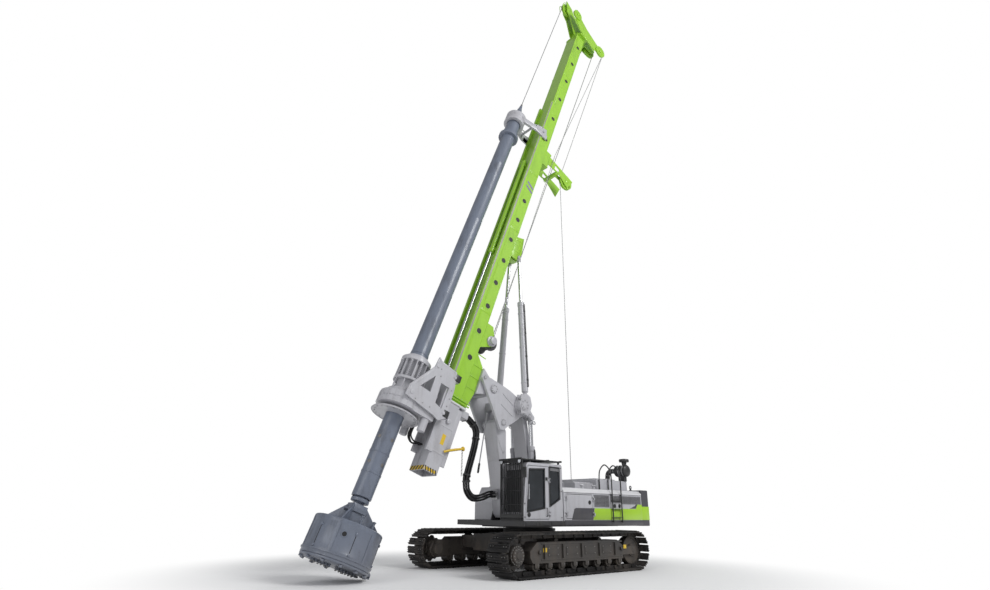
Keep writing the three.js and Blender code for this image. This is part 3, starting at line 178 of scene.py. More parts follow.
def paint(name, colour, grime, roughness=0.3, metal=0.0, coat=0.25, amount=0.5, peel=0.0006, dust=0.0):
    """Sprayed enamel: clouds and run marks of grime, an uneven gloss and a fine peel."""
    f = Finish(name)
    cloud = f.noise(0.8, 6.0)
    speck = f.noise(24.0, 5.0)
    runs = f.noise(2.2, 5.0, (3.5, 3.5, 0.3))
    dirt = ((cloud * 0.5 + runs * 0.35 + speck * 0.15).band(0.46, 0.66)) * amount
    base = f.mix(dirt, colour, grime)
    if dust:
        low = (1.3 - f.height()).band(0.0, 1.3) * (speck * 0.8 + cloud * 0.6) * dust
        base = f.mix(low, base, (0.16, 0.13, 0.1))
    rough = roughness + 0.22 * dirt + 0.1 * speck
    pits = f.noise(180.0, 2.0) * 0.5 + cloud * 0.5
    return f.surface(Base_Color=base, Roughness=rough, Metallic=metal, Coat_Weight=coat, Coat_Roughness=0.12,
                     Normal=f.bump(pits, peel))


def bare_steel(name, colour, roughness=0.22, grain=(1, 1, 40)):
    """Plated or ground steel with a fine grain."""
    f = Finish(name)
    lines = f.noise(6.0, 5.0, grain)
    cloud = f.noise(3.0, 4.0)
    rough = roughness + 0.14 * lines + 0.1 * cloud
    return f.surface(Base_Color=f.mix(cloud.band(0.4, 0.75) * 0.5, colour, [v * 0.6 for v in colour]), Metallic=1.0,
                     Roughness=rough, Normal=f.bump(lines, 0.0004))


def rubber(name, colour=(0.012, 0.012, 0.013), roughness=0.55):
    """Black rubber, chalky in clouds."""
    f = Finish(name)
    speck = f.noise(40.0, 5.0)
    cloud = f.noise(2.5, 4.0)
    chalk = cloud.band(0.45, 0.8) * 0.35
    return f.surface(Base_Color=f.mix(chalk, colour, (0.07, 0.068, 0.065)), Roughness=roughness + 0.15 * speck,
                     Normal=f.bump(speck, 0.0008))


def wire_rope(name):
    """Steel rope, its strands as slanting bands."""
    f = Finish(name)
    wave = f.node("TexWave", {"wave_type": "BANDS", "bands_direction": "DIAGONAL"}, Vector=f.place, Scale=9.0)
    return f.surface(Base_Color=f.mix(wave, (0.16, 0.16, 0.165), (0.46, 0.46, 0.47)), Metallic=0.8, Roughness=0.45,
                     Normal=f.bump(wave, 0.004))


def glass(name, tint, roughness=0.04):
    """Dark glass with faint smears."""
    f = Finish(name)
    smear = f.noise(3.0, 4.0)
    return f.surface(Base_Color=f.mix(smear.band(0.3, 0.9), tint, [v * 1.8 + 0.01 for v in tint]),
                     Roughness=roughness + 0.06 * smear, Coat_Weight=0.6, Coat_Roughness=0.03)


def cloth(name, colour):
    """Woven seat cloth."""
    f = Finish(name)
    weave = f.node("TexWave", {"wave_type": "BANDS", "bands_direction": "Y"}, Vector=f.place, Scale=90.0)
    fuzz = f.noise(60.0, 4.0)
    return f.surface(Base_Color=f.mix(fuzz, colour, [v * 1.7 for v in colour]), Roughness=0.85,
                     Normal=f.bump(weave * 0.6 + fuzz * 0.4, 0.002))


GREEN = paint("mast_green", (0.33, 0.62, 0.035), (0.22, 0.43, 0.03), 0.3, coat=0.35, amount=0.45)
GREY = paint("body_grey", (0.50, 0.50, 0.53), (0.33, 0.32, 0.33), 0.3, coat=0.35, amount=0.55)
BARREL = paint("cylinder_grey", (0.46, 0.46, 0.49), (0.3, 0.3, 0.31), 0.28, coat=0.35, amount=0.4)
WHITE = paint("hood_white", (0.74, 0.74, 0.755), (0.55, 0.55, 0.56), 0.3, coat=0.35, amount=0.4)
STRIPE = paint("stripe_green", (0.38, 0.64, 0.03), (0.3, 0.5, 0.04), 0.32, amount=0.3)
SLATE = paint("kelly_slate", (0.165, 0.19, 0.245), (0.09, 0.10, 0.125), 0.34, coat=0.3, amount=0.75, dust=0.35)
DARK = paint("frame_dark", (0.028, 0.028, 0.031), (0.06, 0.055, 0.05), 0.42, amount=0.6)
UNDER = paint("undercarriage_dark", (0.03, 0.029, 0.029), (0.075, 0.062, 0.052), 0.5, coat=0.1, amount=0.9, dust=0.35)
SHOE = paint("shoe_steel", (0.02, 0.019, 0.019), (0.085, 0.074, 0.065), 0.48, metal=0.35, coat=0.0, amount=1.0,
             peel=0.002)
WEIGHT = paint("weight_grey", (0.055, 0.053, 0.064), (0.09, 0.085, 0.08), 0.4, amount=0.5)
# Painted shade: a dark grey that stands in for the shade in the louvres and the cab's quarter vent.
SHADOW_GREY = paint("louvre_shade_grey", (0.19, 0.19, 0.2), (0.1, 0.1, 0.1), 0.45, amount=0.5)
YELLOW = paint("plain_yellow", (0.75, 0.5, 0.02), (0.5, 0.34, 0.05), 0.4, amount=0.4)
VIOLET = paint("mast_stripe", (0.22, 0.2, 0.33), (0.16, 0.15, 0.22), 0.35, amount=0.3)
# Black paint for real black parts; also used for the discs, strips and sheets that are painted shade in holes, slots
# and louvres.
LAMP_BODY = paint("lamp_black", (0.015, 0.015, 0.016), (0.04, 0.04, 0.04), 0.4, amount=0.3)
CHROME = bare_steel("chrome_rod", (0.78, 0.79, 0.81), 0.08)
BOLT = bare_steel("bolt_steel", (0.42, 0.42, 0.43), 0.32)
WORN = bare_steel("worn_steel", (0.3, 0.29, 0.28), 0.4)
RUBBER = rubber("hose_rubber")
SEAL = rubber("window_seal", (0.008, 0.008, 0.009), 0.4)
ROPE = wire_rope("steel_rope")
GLASS = glass("window_glass", (0.012, 0.015, 0.018))
LENS = glass("lamp_lens", (0.55, 0.57, 0.6))
MIRROR = bare_steel("mirror_silver", (0.8, 0.82, 0.84), 0.04)
SEAT_CLOTH = cloth("seat_cloth", (0.03, 0.03, 0.034))

# ------------------------------------------------------------------ solids

SOFT_ANGLE = math.radians(33)


def level_ring(sides, radius, phase=0.0):
    """Points evenly round a circle, as (x, y)."""
    return [(radius * math.cos(2 * math.pi * (i + phase) / sides), radius * math.sin(2 * math.pi * (i + phase) / sides))
            for i in range(sides)]


class Shape:
    """Solids that become one piece. Their points are turned into the frame by place."""

    def __init__(self, place=RIG):
        self.place, self.points, self.faces = place, [], []

    def solid(self, points, faces):
        base = len(self.points)
        self.points += [Vector(p) for p in points]
        self.faces += [[base + i for i in face] for face in faces]
        return self

    def box(self, x0, x1, y0, y1, z0, z1):
        points = [(x, y, z) for x in (x0, x1) for y in (y0, y1) for z in (z0, z1)]
        return self.solid(points, [(0, 1, 3, 2), (4, 6, 7, 5), (0, 4, 5, 1), (2, 3, 7, 6), (0, 2, 6, 4), (1, 5, 7, 3)])

    def plate(self, outline, low, high, along="y"):
        """An outline stretched along an axis: of (x, z) along y, (y, z) along x and (x, y) along z."""
        order = {"y": lambda a, b, d: (a, d, b), "x": lambda a, b, d: (d, a, b), "z": lambda a, b, d: (a, b, d)}[along]
        n = len(outline)
        points = [order(a, b, d) for d in (low, high) for a, b in outline]
        sides = [(i, (i + 1) % n, n + (i + 1) % n, n + i) for i in range(n)]
        return self.solid(points, [tuple(range(n)), tuple(range(2 * n - 1, n - 1, -1)), *sides])

    def sweep(self, rings, closed=False):
        """A skin over rings of points, which all have the same count."""
        n = len(rings[0])
        points = [p for ring in rings for p in ring]
        count = len(rings)
        faces = [(i * n + k, i * n + (k + 1) % n, ((i + 1) % count) * n + (k + 1) % n, ((i + 1) % count) * n + k)
                 for i in range(count if closed else count - 1) for k in range(n)]
        if not closed:
            faces += [tuple(range(n)), tuple(range((count - 1) * n, count * n))]
        return self.solid(points, faces)

    def turned(self, profile, base, axis=(0, 0, 1), sides=48, closed=False):
        """A profile of (radius, height) turned about the axis through base."""
        turn = Vector((0, 0, 1)).rotation_difference(Vector(axis)).to_matrix()
        base = Vector(base)
        rings = [[base + turn @ Vector((x, y, h)) for x, y in level_ring(sides, max(r, 0.0005))] for r, h in profile]
        return self.sweep(rings, closed)

    def rod(self, start, end, radius, sides=20, chamfer=0.0):
        start, end = Vector(start), Vector(end)
        long = (end - start).length
        c = chamfer
        profile = [(radius - c, 0), (radius, c), (radius, long - c), (radius - c, long)] if c else [(radius, 0),
                                                                                                    (radius, long)]
        return self.turned(profile, start, end - start, sides)

    def tube(self, outer, inner, base, length, axis=(0, 0, 1), sides=48, chamfer=0.004):
        c = chamfer
        profile = [(inner, 0), (outer - c, 0), (outer, c), (outer, length - c), (outer - c, length), (inner, length)]
        return self.turned(profile, base, axis, sides, closed=True)

    def hose(self, path, radius, sides=10):
        path = [Vector(p) for p in path]
        side = (path[1] - path[0]).orthogonal().normalized()
        rings = []
        for i, p in enumerate(path):
            ahead = (path[min(i + 1, len(path) - 1)] - path[max(i - 1, 0)]).normalized()
            side = (side - ahead * side.dot(ahead)).normalized()
            up = ahead.cross(side)
            rings.append([p + side * a + up * b for a, b in level_ring(sides, radius)])
        return self.sweep(rings)

    def bolt(self, at, axis, size=0.02, deep=None):
        """A hexagon head on a washer."""
        deep = deep or size * 0.8
        self.turned([(size * 1.35, 0), (size * 1.35, size * 0.2), (size * 0.9, size * 0.2)], at, axis, 12)
        return self.turned([(size, size * 0.2), (size, deep * 0.85), (size * 0.85, deep)], at, axis, 6)

    def bolts(self, points, axis, size=0.02):
        for at in points:
            self.bolt(at, axis, size)
        return self

    def bolt_circle(self, centre, axis, radius, count, size=0.02, phase=0.0):
        turn = Vector((0, 0, 1)).rotation_difference(Vector(axis)).to_matrix()
        for x, y in level_ring(count, radius, phase):
            self.bolt(Vector(centre) + turn @ Vector((x, y, 0)), axis, size)
        return self

    def mirrored(self):
        """The other side too, across the middle plane."""
        flipped = [(p.x, -p.y, p.z) for p in self.points]
        return self.solid(flipped, [tuple(reversed(face)) for face in self.faces])

    def piece(self, name, finish, body, slot, bevel=0.0, replaces=(), ride=True):
        mesh = bpy.data.meshes.new(name)
        mesh.from_pydata([self.place @ p for p in self.points], [], self.faces)
        obj = bpy.data.objects.new(name, mesh)
        bpy.context.scene.collection.objects.link(obj)
        return dress(obj, finish, body if ride else None, bevel, replaces)


def dress(obj, finish, body, bevel=0.0, replaces=()):
    """Cleans a mesh, rounds its hard edges, and gives it its finish and its body."""
    mesh = obj.data
    work = bmesh.new()
    work.from_mesh(mesh)
    bmesh.ops.remove_doubles(work, verts=work.verts, dist=0.00005)
    bmesh.ops.dissolve_degenerate(work, edges=work.edges, dist=0.00005)
    bmesh.ops.recalc_face_normals(work, faces=work.faces)
    if bevel:
        hard = [e for e in work.edges if e.is_manifold and e.calc_face_angle(0) > SOFT_ANGLE]
        bmesh.ops.bevel(work, geom=hard, offset=bevel, offset_type="OFFSET", segments=2, profile=0.5, affect="EDGES",
                        clamp_overlap=True)
    work.to_mesh(mesh)
    work.free()
    mesh.materials.clear()
    mesh.materials.append(finish)
    mesh.shade_smooth()
    mesh.set_sharp_from_angle(angle=SOFT_ANGLE)
    if body:
        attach(obj, body)
    if replaces:
        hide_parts(*replaces)
    return obj


def refined(node, finish, bevel=0.008):
    """The frame's own solid again, with its edges rounded."""
    source = frame["nodes"][node]
    mesh = source.data.copy()
    mesh.name = node + "_finished"
    work = bmesh.new()
    work.from_mesh(mesh)
    bmesh.ops.remove_doubles(work, verts=work.verts, dist=0.00005)
    bmesh.ops.dissolve_limit(work, angle_limit=math.radians(0.8), verts=work.verts, edges=work.edges)
    work.to_mesh(mesh)
    work.free()
    obj = bpy.data.objects.new(node + "_finished", mesh)
    bpy.context.scene.collection.objects.link(obj)
    dress(obj, finish, None)
    body = source["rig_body"]
    if bevel:
        rounding = obj.modifiers.new("rounding", "BEVEL")
        rounding.width, rounding.segments = bevel, 2
        rounding.limit_method, rounding.angle_limit = "ANGLE", math.radians(38)
        rounding.use_clamp_overlap = False
        rounding.harden_normals = True
    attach(obj, body)
    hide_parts(node)
    return obj


def smooth_path(points, count=28):
    """A smooth curve through points."""
    points = [Vector(p) for p in points]
    knots = [points[0] * 2 - points[1], *points, points[-1] * 2 - points[-2]]
    spans = len(points) - 1
    path = []
    for i in range(count + 1):
        u = min(i / count * spans, spans - 1e-6)
        k = int(u)
        t = u - k
        a, b, c, d = knots[k:k + 4]
        bend, twist = a * 2 - b * 5 + c * 4 - d, b * 3 - a - c * 3 + d
        path.append(((b * 2) + (c - a) * t + bend * t * t + twist * t ** 3) / 2)
    return path

# ------------------------------------------------------------------ the frame's own solids, finished

for finish, bevel, nodes in (
    (DARK, 0.008, ["turntable_frame", "engine_block"]),
    (WEIGHT, 0.03, ["counterweight"]),
    (GREY, 0.012, ["right_cabinet"]),
    (GREY, 0.01, ["engine_hood", "cab_shell", "boom", "support_link", "triangle_frame", "mast_support", "lower_mast"]),
    (GREY, 0.006, ["cab_door", "service_door_left", "service_door_right", "louvre_door_left", "louvre_door_right",
                   "carriage"]),
    (GREEN, 0.008, ["mast", "mast_head", "auxiliary_frame", "winch_frame"]),
    (UNDER, 0.008, ["carbody", "track_frame_left", "track_frame_right"]),
    (UNDER, 0.004, ["travel_drive_left", "travel_drive_right"]),
    (LAMP_BODY, 0.004, ["cab_guard"]),
    (GLASS, 0.0, ["cab_door_glass", "cab_windscreen"]),
):
    for node in nodes:
        refined(node, finish, bevel)

# ------------------------------------------------------------------ crawler tracks

TRACK_HALF, WHEEL_X, AXLE_Z, PITCH_RADIUS, SHOES = 1.85, 2.371, 0.542, 0.43, 60
LOOP_STRAIGHT, LOOP_ROUND = 2 * WHEEL_X, math.pi * PITCH_RADIUS
PITCH = 2 * (LOOP_STRAIGHT + LOOP_ROUND) / SHOES


def on_loop(distance, out):
    """A point of the track at a distance round its pitch line, and out from it."""
    d = distance % (2 * (LOOP_STRAIGHT + LOOP_ROUND))
    reach = PITCH_RADIUS + out
    if d < LOOP_STRAIGHT:
        return WHEEL_X - d, AXLE_Z + reach
    d -= LOOP_STRAIGHT
    if d < LOOP_ROUND:
        a = math.pi / 2 + d / PITCH_RADIUS
        return -WHEEL_X + reach * math.cos(a), AXLE_Z + reach * math.sin(a)
    d -= LOOP_ROUND
    if d < LOOP_STRAIGHT:
        return -WHEEL_X + d, AXLE_Z - reach
    a = -math.pi / 2 + (d - LOOP_STRAIGHT) / PITCH_RADIUS
    return WHEEL_X + reach * math.cos(a), AXLE_Z + reach * math.sin(a)


SHOE_OUTLINE = [(-0.485, 0.05), (0.485, 0.05), (0.485, 0.072), (0.37, 0.078), (0.33, 0.108), (0.27, 0.108),
                (0.23, 0.078),
                (0.06, 0.077), (0.035, 0.1), (-0.035, 0.1), (-0.06, 0.077), (-0.24, 0.078), (-0.28, 0.112),
                (-0.35, 0.112),
                (-0.39, 0.08), (-0.485, 0.072)]


def track_side(name, side):
    """One track's shoes, chain, rollers, plates and final drive."""
    shoes, chain, heads = Shape(), Shape(), Shape()
    middle = side * TRACK_HALF
    for i in range(SHOES):
        at = (i + 0.5) * PITCH
        ahead, behind = on_loop(at + 0.3 * PITCH, 0), on_loop(at - 0.3 * PITCH, 0)
        centre = Vector((*on_loop(at, 0), 0))
        along = Vector((ahead[0] - behind[0], ahead[1] - behind[1], 0)).normalized()
        out = Vector((-along.y, along.x, 0)) if (on_loop(at, 0.1)[0] - centre.x) * -along.y + (
            on_loop(at, 0.1)[1] - centre.y) * along.x > 0 else Vector((along.y, -along.x, 0))

        def point(u, v):
            p = centre + along * (u * PITCH) + out * v
            return p.x, p.y

        shoes.plate([point(u, v) for u, v in SHOE_OUTLINE], middle - 0.4, middle + 0.4)
        for row in (-0.085, 0.085):
            shift = 0.012 * (1 if i % 2 else -1)
            chain.plate([point(u, v) for u, v in ((-0.56, -0.03), (-0.4, -0.05), (0.4, -0.05), (0.56, -0.03),
                                                  (0.56, 0.02),
                                                  (0.4, 0.052), (-0.4, 0.052), (-0.56, 0.02))],
                        middle + row - 0.02 + shift, middle + row + 0.02 + shift)
        x, z = point(-0.5, 0)
        chain.rod((x, middle - 0.125, z), (x, middle + 0.125, z), 0.024, 10)
        for across in (-0.3, -0.2, 0.2, 0.3):
            x, z = point(0.15, 0.077)
            heads.turned([(0.017, 0), (0.017, 0.012), (0.013, 0.016)], (x, middle + across, z), (out.x, 0, out.y), 6)
    body = "track_unit_" + name
    shoes.piece(f"shoes_{name}", SHOE, body, "track_steel", 0.003, ["track_" + name])
    chain.piece(f"chain_{name}", SHOE, body, "track_steel", 0.0, ["track_" + name])
    heads.piece(f"shoe_bolts_{name}", WORN, body, "track_steel")

    rollers, covers, bolts = Shape(), Shape(), Shape()
    roller_z = AXLE_Z - PITCH_RADIUS + 0.05 + 0.1103
    for i in range(8):
        x = -1.7 + 3.4 * i / 7
        rollers.turned([(0.06, -0.19), (0.075, -0.165), (0.118, -0.16), (0.122, -0.12), (0.111, -0.115), (0.111, -0.02),
                        (0.118, -0.015), (0.118, 0.015), (0.111, 0.02), (0.111, 0.115), (0.122, 0.12), (0.118, 0.16),
                        (0.075, 0.165), (0.06, 0.19)], (x, middle, roller_z), (0, 1, 0), 32)
        for y in (-0.2, 0.2):
            covers.box(x - 0.075, x + 0.075, middle + y - 0.018, middle + y + 0.018, roller_z - 0.045, 0.35)
            bolts.bolts([(x - 0.045, middle + y + 0.018 * (1 if y > 0 else -1), z) for z in (roller_z, 0.3)],
                        (0, 1 if y > 0 else -1, 0), 0.014)
    for x in (-0.9, 0.9):
        rollers.turned([(0.05, -0.15), (0.08, -0.14), (0.083, 0.0), (0.08, 0.14), (0.05, 0.15)],
                       (x, middle, AXLE_Z + PITCH_RADIUS - 0.1303), (0, 1, 0), 28)
    idler = [(0.07, -0.16), (0.16, -0.15), (0.18, -0.06), (0.3, -0.05), (0.33, -0.115), (0.376, -0.11), (0.379, -0.05),
             (0.379, 0.05), (0.376, 0.11), (0.33, 0.115), (0.3, 0.05), (0.18, 0.06), (0.16, 0.15), (0.07, 0.16)]
    rollers.turned(idler, (-WHEEL_X, middle, AXLE_Z), (0, 1, 0), 48)
    rollers.piece(f"rollers_{name}", UNDER, body, "undercarriage_paint")
    # the frame's rails, webs, plates and bosses
    face = middle + side * 0.22
    for low, high, thick in ((0.40, 0.44, 0.012), (0.78, 0.83, 0.012)):
        covers.box(-1.8, 1.55, *sorted((face, face + side * thick)), low, high)
    for x in (-1.45, -0.75, 0.0, 0.75, 1.45):
        covers.plate([(x - 0.012, 0.44), (x + 0.012, 0.44), (x + 0.012, 0.78), (x - 0.012, 0.78)],
                     *sorted((face, face + side * 0.05)))
    for x0, x1 in ((-1.3, -0.9), (-0.6, -0.15), (0.15, 0.6), (0.9, 1.3)):
        covers.box(x0, x1, *sorted((face, face + side * 0.01)), 0.5, 0.72)
        bolts.bolts([(x, face + side * 0.01, z) for x in (x0 + 0.03, x1 - 0.03) for z in (0.53, 0.69)], (0, side, 0),
                    0.012)
    for x in (-1.75, 1.62):
        covers.turned([(0.05, 0), (0.05, 0.05), (0.03, 0.06)], (x, face, 0.6), (0, side, 0), 24)
    covers.piece(f"frame_plates_{name}", UNDER, body, "undercarriage_paint", 0.004)
    bolts.bolt_circle((WHEEL_X, middle + side * 0.25, AXLE_Z), (0, side, 0), 0.15, 12, 0.015)
    bolts.bolt_circle((WHEEL_X, middle + side * 0.21, AXLE_Z), (0, side, 0), 0.213, 18, 0.013)
    bolts.bolt_circle((-WHEEL_X, middle + side * 0.16, AXLE_Z), (0, side, 0), 0.11, 6, 0.014)
    bolts.piece(f"frame_bolts_{name}", WORN, body, "undercarriage_paint")
    hub = Shape().turned([(0.236, 0.0), (0.236, 0.02), (0.225, 0.03), (0.19, 0.035), (0.19, 0.07), (0.17, 0.085),
                          (0.09, 0.09),
                          (0.08, 0.11), (0.03, 0.115)], (WHEEL_X, middle + side * 0.17, AXLE_Z), (0, side, 0), 48)
    hub.piece(f"final_drive_{name}", UNDER, body, "undercarriage_paint", 0.003)
    stickers = Shape()
    for x in (-2.0, 1.35):
        stickers.box(x, x + 0.13, *sorted((face, face + side * 0.0125)), 0.6, 0.7)
    stickers.piece(f"frame_marks_{name}", YELLOW, body, "undercarriage_paint")


for side_name, side_sign in (("left", 1), ("right", -1)):
    track_side(side_name, side_sign)

ring = Shape()
ring.turned([(0.6, 0), (0.80, 0), (0.80, 0.05), (0.79, 0.055), (0.79, 0.1), (0.8, 0.105), (0.8, 0.15), (0.6, 0.15)],
            (0, 0, 0.972), sides=72, closed=True)
ring.bolt_circle((0, 0, 0.98), (0, 0, 1), 0.86, 40, 0.016)
ring.piece("slewing_ring", UNDER, "undercarriage", "undercarriage_paint", 0.002)

# ------------------------------------------------------------------ upper structure

STRIPE_LOW, STRIPE_STEP, STRIPE_HIGH = DECK + 0.03, DECK + 0.36, DECK + 0.5


def hood_side(side):
    """Edges, bands, louvres and latches on one side of the hood."""
    hand = "left" if side > 0 else "right"
    skin = Shape()
    edge = [(1.504, HOOD_HIGH - 0.06), (1.504, HOOD_HIGH - 0.028), (1.412, HOOD_TOP + 0.004), (1.3, HOOD_TOP + 0.004),
            (1.3, HOOD_TOP - 0.01), (1.4, HOOD_TOP - 0.01), (1.49, HOOD_HIGH - 0.04), (1.49, HOOD_HIGH - 0.06)]
    skin.plate([(side * y, z) for y, z in edge], -3.74, 0.03, "x")
    skin.piece(f"hood_edge_{hand}", WHITE, "upper", "grey_paint", 0.003)

    dark, green = Shape(), Shape()
    low, high = sorted((side * 1.5, side * 1.5035))
    dark.plate([(-0.3, STRIPE_LOW), (-1.25, STRIPE_LOW), (-1.33, STRIPE_STEP), (-0.5, STRIPE_STEP),
                (-0.42, STRIPE_STEP - 0.03)], low, high)
    dark.plate([(-3.08, STRIPE_STEP + 0.01), (-3.4, STRIPE_STEP + 0.01), (-3.52, STRIPE_HIGH + 0.02),
                (-3.45, STRIPE_HIGH + 0.02),
                (-3.36, STRIPE_STEP + 0.09)], low, high)
    dark.box(-3.74, -0.0, *sorted((side * 1.495, side * 1.512)), DECK - 0.125, DECK + 0.022)
    dark.piece(f"dark_band_{hand}", WEIGHT, "upper", "counterweight_paint", 0.001)
    green.plate([(-1.26, STRIPE_LOW), (-3.738, STRIPE_LOW), (-3.738, STRIPE_HIGH), (-3.5, STRIPE_HIGH),
                 (-3.4, STRIPE_STEP),
                 (-1.34, STRIPE_STEP)], low, high + (0.0004 if side > 0 else 0))
    green.piece(f"green_band_{hand}", STRIPE, "upper", "green_paint", 0.001)

    def louvres(x0, x1, z0, z1, name, body):
        slats = Shape()
        y = side * 1.5
        for a, b, c, d in ((x0, x1, z0 - 0.02, z0), (x0, x1, z1, z1 + 0.02), (x0 - 0.02, x0, z0 - 0.02, z1 + 0.02),
                           (x1, x1 + 0.02, z0 - 0.02, z1 + 0.02)):
            slats.box(a, b, *sorted((y, y + side * 0.012)), c, d)
        rows = round((z1 - z0) / 0.036)
        for k in range(rows):
            z = z0 + (k + 0.5) * (z1 - z0) / rows
            slats.plate([(y + side * 0.001, z + 0.014), (y + side * 0.014, z - 0.006), (y + side * 0.014, z - 0.011),
                         (y + side * 0.001, z + 0.006)], x0, x1, "x")
        for k in range(1, 4):
            x = x0 + (x1 - x0) * k / 4
            slats.box(x - 0.004, x + 0.004, *sorted((y, y + side * 0.012)), z0, z1)
        slats.piece(name, SHADOW_GREY, body, "grey_paint")
        # Painted shade: a black sheet under the slats stands in for the shade behind the louvre openings.
        back = Shape().box(x0, x1, *sorted((y, y + side * 0.0015)), z0, z1)
        back.piece(name + "_back", LAMP_BODY, body, "grey_paint")

    louvres(-2.02, -1.36, DECK + 0.42, DECK + 0.72, f"door_louvre_{hand}", f"louvre_door_{hand}")
    louvres(-2.62, -2.16, DECK + 0.56, DECK + 0.72, f"side_louvre_{hand}", "upper")
    louvres(-3.66, -2.72, DECK + 0.52, DECK + 0.72, f"rear_louvre_{hand}", "upper")

    def latch(x, z, body, name):
        catch = Shape()
        base = (x, side * 1.5, z)
        catch.turned([(0.062, 0), (0.062, 0.006), (0.052, 0.012), (0.05, 0.004), (0.018, 0.004), (0.018, 0.014),
                      (0.01, 0.016)],
                     base, (0, side, 0), 32)
        catch.box(x - 0.035, x + 0.02, *sorted((side * 1.504, side * 1.516)), z - 0.014, z + 0.014)
        catch.piece(name, LAMP_BODY, body, "frame_paint", 0.001)

    latch(-1.12, DECK + 0.52, f"service_door_{hand}", f"door_latch_{hand}")
    latch(-2.32, DECK + 0.44, "upper", f"panel_latch_front_{hand}")
    latch(-2.56, DECK + 0.44, "upper", f"panel_latch_rear_{hand}")
    seams = Shape()
    for x in (-2.12, -2.68):
        seams.box(x - 0.003, x + 0.003, *sorted((side * 1.5, side * 1.5042)), DECK + 0.03, HOOD_HIGH - 0.05)
    seams.box(-3.74, 0.0, *sorted((side * 1.5, side * 1.5022)), HOOD_HIGH - 0.078, HOOD_HIGH - 0.07)
    seams.piece(f"panel_seams_{hand}", SEAL, "upper", "frame_paint")

    weight = Shape()
    weight.box(-4.115, -3.742, *sorted((side * 1.499, side * 1.5035)), DECK + 0.03, STRIPE_HIGH - 0.06)
    weight.piece(f"weight_band_{hand}", STRIPE, "upper", "green_paint", 0.001)


for side_sign in (1, -1):
    hood_side(side_sign)

weight_edge = [(-4.12, 1.5), (-4.31, 1.2), (-4.37, 0.7), (-4.37, -0.7), (-4.31, -1.2), (-4.12, -1.5)]
tail = Shape()
for (xa, ya), (xb, yb) in zip(weight_edge, weight_edge[1:]):
    out = Vector((yb - ya, -(xb - xa))).normalized() * -0.004
    if out.x > 0:
        out = -out
    tail.plate([(xa, ya), (xb, yb), (xb + out.x, yb + out.y), (xa + out.x, ya + out.y)], DECK + 0.03,
               STRIPE_HIGH - 0.06, "z")
tail.piece("tail_band", STRIPE, "upper", "green_paint")
lugs = Shape()
for y in (0.9, -0.9):
    lugs.turned([(0.05, 0), (0.05, 0.02), (0.03, 0.03), (0.03, 0.08)], (-4.0, y, DECK + 0.955), (0, 0, 1), 24)
    lugs.turned([(0.045 + 0.018 * math.cos(a), 0.018 * math.sin(a)) for a in [2 * math.pi * k / 10 for k in range(10)]],
                (-4.0, y, DECK + 1.06), (0, 1, 0), 28, closed=True)
for z in (1.5, 1.8, 2.1):
    lugs.bolts([(-4.372, y, z) for y in (-0.5, 0, 0.5)], (-1, 0, 0), 0.03)
lugs.piece("lifting_eyes", WEIGHT, "upper", "counterweight_paint")

roof = Shape()
for x0, x1, y0, y1, z, high in ((-3.55, -3.2, -0.7, 0.4, PLINTH_TOP, 0.03),
                                (-3.1, -2.2, -0.75, 0.95, PLINTH_TOP, 0.035),
                                (-2.0, -1.2, -0.6, 0.8, PLINTH_TOP - 0.12, 0.03),
                                (-0.95, -0.1, 0.66, 1.3, HOOD_TOP, 0.025),
                                (-0.95, -0.1, -1.35, -0.62, HOOD_TOP, 0.025), (-2.0, -1.2, -1.35, -0.8, HOOD_TOP, 0.03),
                                (-3.6, -2.2, -1.38, -0.95, HOOD_TOP, 0.03)):
    roof.box(x0, x1, y0, y1, z, z + high)
    roof.bolts([(x, y, z + high) for x in (x0 + 0.05, x1 - 0.05) for y in (y0 + 0.05, y1 - 0.05)], (0, 0, 1), 0.012)
for k in range(9):
    x = -3.05 + 0.1 * k
    roof.box(x, x + 0.05, -0.65, 0.85, PLINTH_TOP + 0.035, PLINTH_TOP + 0.05)
for x in (-1.75, -2.9, -1.2):
    roof.turned([(0.07, 0), (0.07, 0.03), (0.045, 0.04), (0.045, 0.1), (0.075, 0.105), (0.075, 0.13), (0.04, 0.14)],
                (x, 0.95 if x < -2 else 1.15, HOOD_TOP), (0, 0, 1), 28)
roof.piece("roof_covers", GREY, "upper", "grey_paint", 0.003)
white_roof = Shape()
white_roof.box(-1.04, 0.025, 0.58, 1.3, HOOD_TOP, HOOD_TOP + 0.004).box(-1.04, 0.025, -1.3, -0.56, HOOD_TOP,
                                                                        HOOD_TOP + 0.004)
white_roof.piece("hood_roof_panels", WHITE, "upper", "grey_paint")
rail = Shape()
for y in (0.6, -0.6):
    rail.hose(smooth_path([(-0.95, y, HOOD_TOP), (-0.95, y, HOOD_TOP + 0.16), (-0.85, y, HOOD_TOP + 0.2),
                           (-0.3, y, HOOD_TOP + 0.2),
                           (-0.2, y, HOOD_TOP + 0.16), (-0.2, y, HOOD_TOP)], 30), 0.014, 10)
rail.piece("hood_rails", GREY, "upper", "grey_paint")

# ------------------------------------------------------------------ steps and hoops

hoops, treads = Shape(), Shape()
for x in (-2.15, -2.6):
    hoops.hose(smooth_path([(x, 1.56, 1.3), (x, 1.56, 2.0), (x, 1.56, 2.64), (x, 1.5, 2.88), (x, 1.31, 3.03),
                            (x, 1.12, 2.88),
                            (x, 1.07, 2.64), (x, 1.07, 2.262)], 44), 0.02, 14)
    hoops.turned([(0.045, 0), (0.045, 0.008), (0.024, 0.012)], (x, 1.07, 2.257), (0, 0, 1), 24)
    for z in (1.33, 2.1):
        hoops.rod((x, 1.5, z), (x, 1.56, z), 0.014, 12)
for z in (1.44, 1.68, 1.92):
    hoops.box(-2.6, -2.15, 1.504, 1.575, z, z + 0.012)
    for k in range(8):
        treads.turned([(0.016, 0), (0.016, 0.004), (0.012, 0.004), (0.012, 0)], (-2.55 + 0.05 * k, 1.54, z + 0.012),
                      (0, 0, 1), 12)
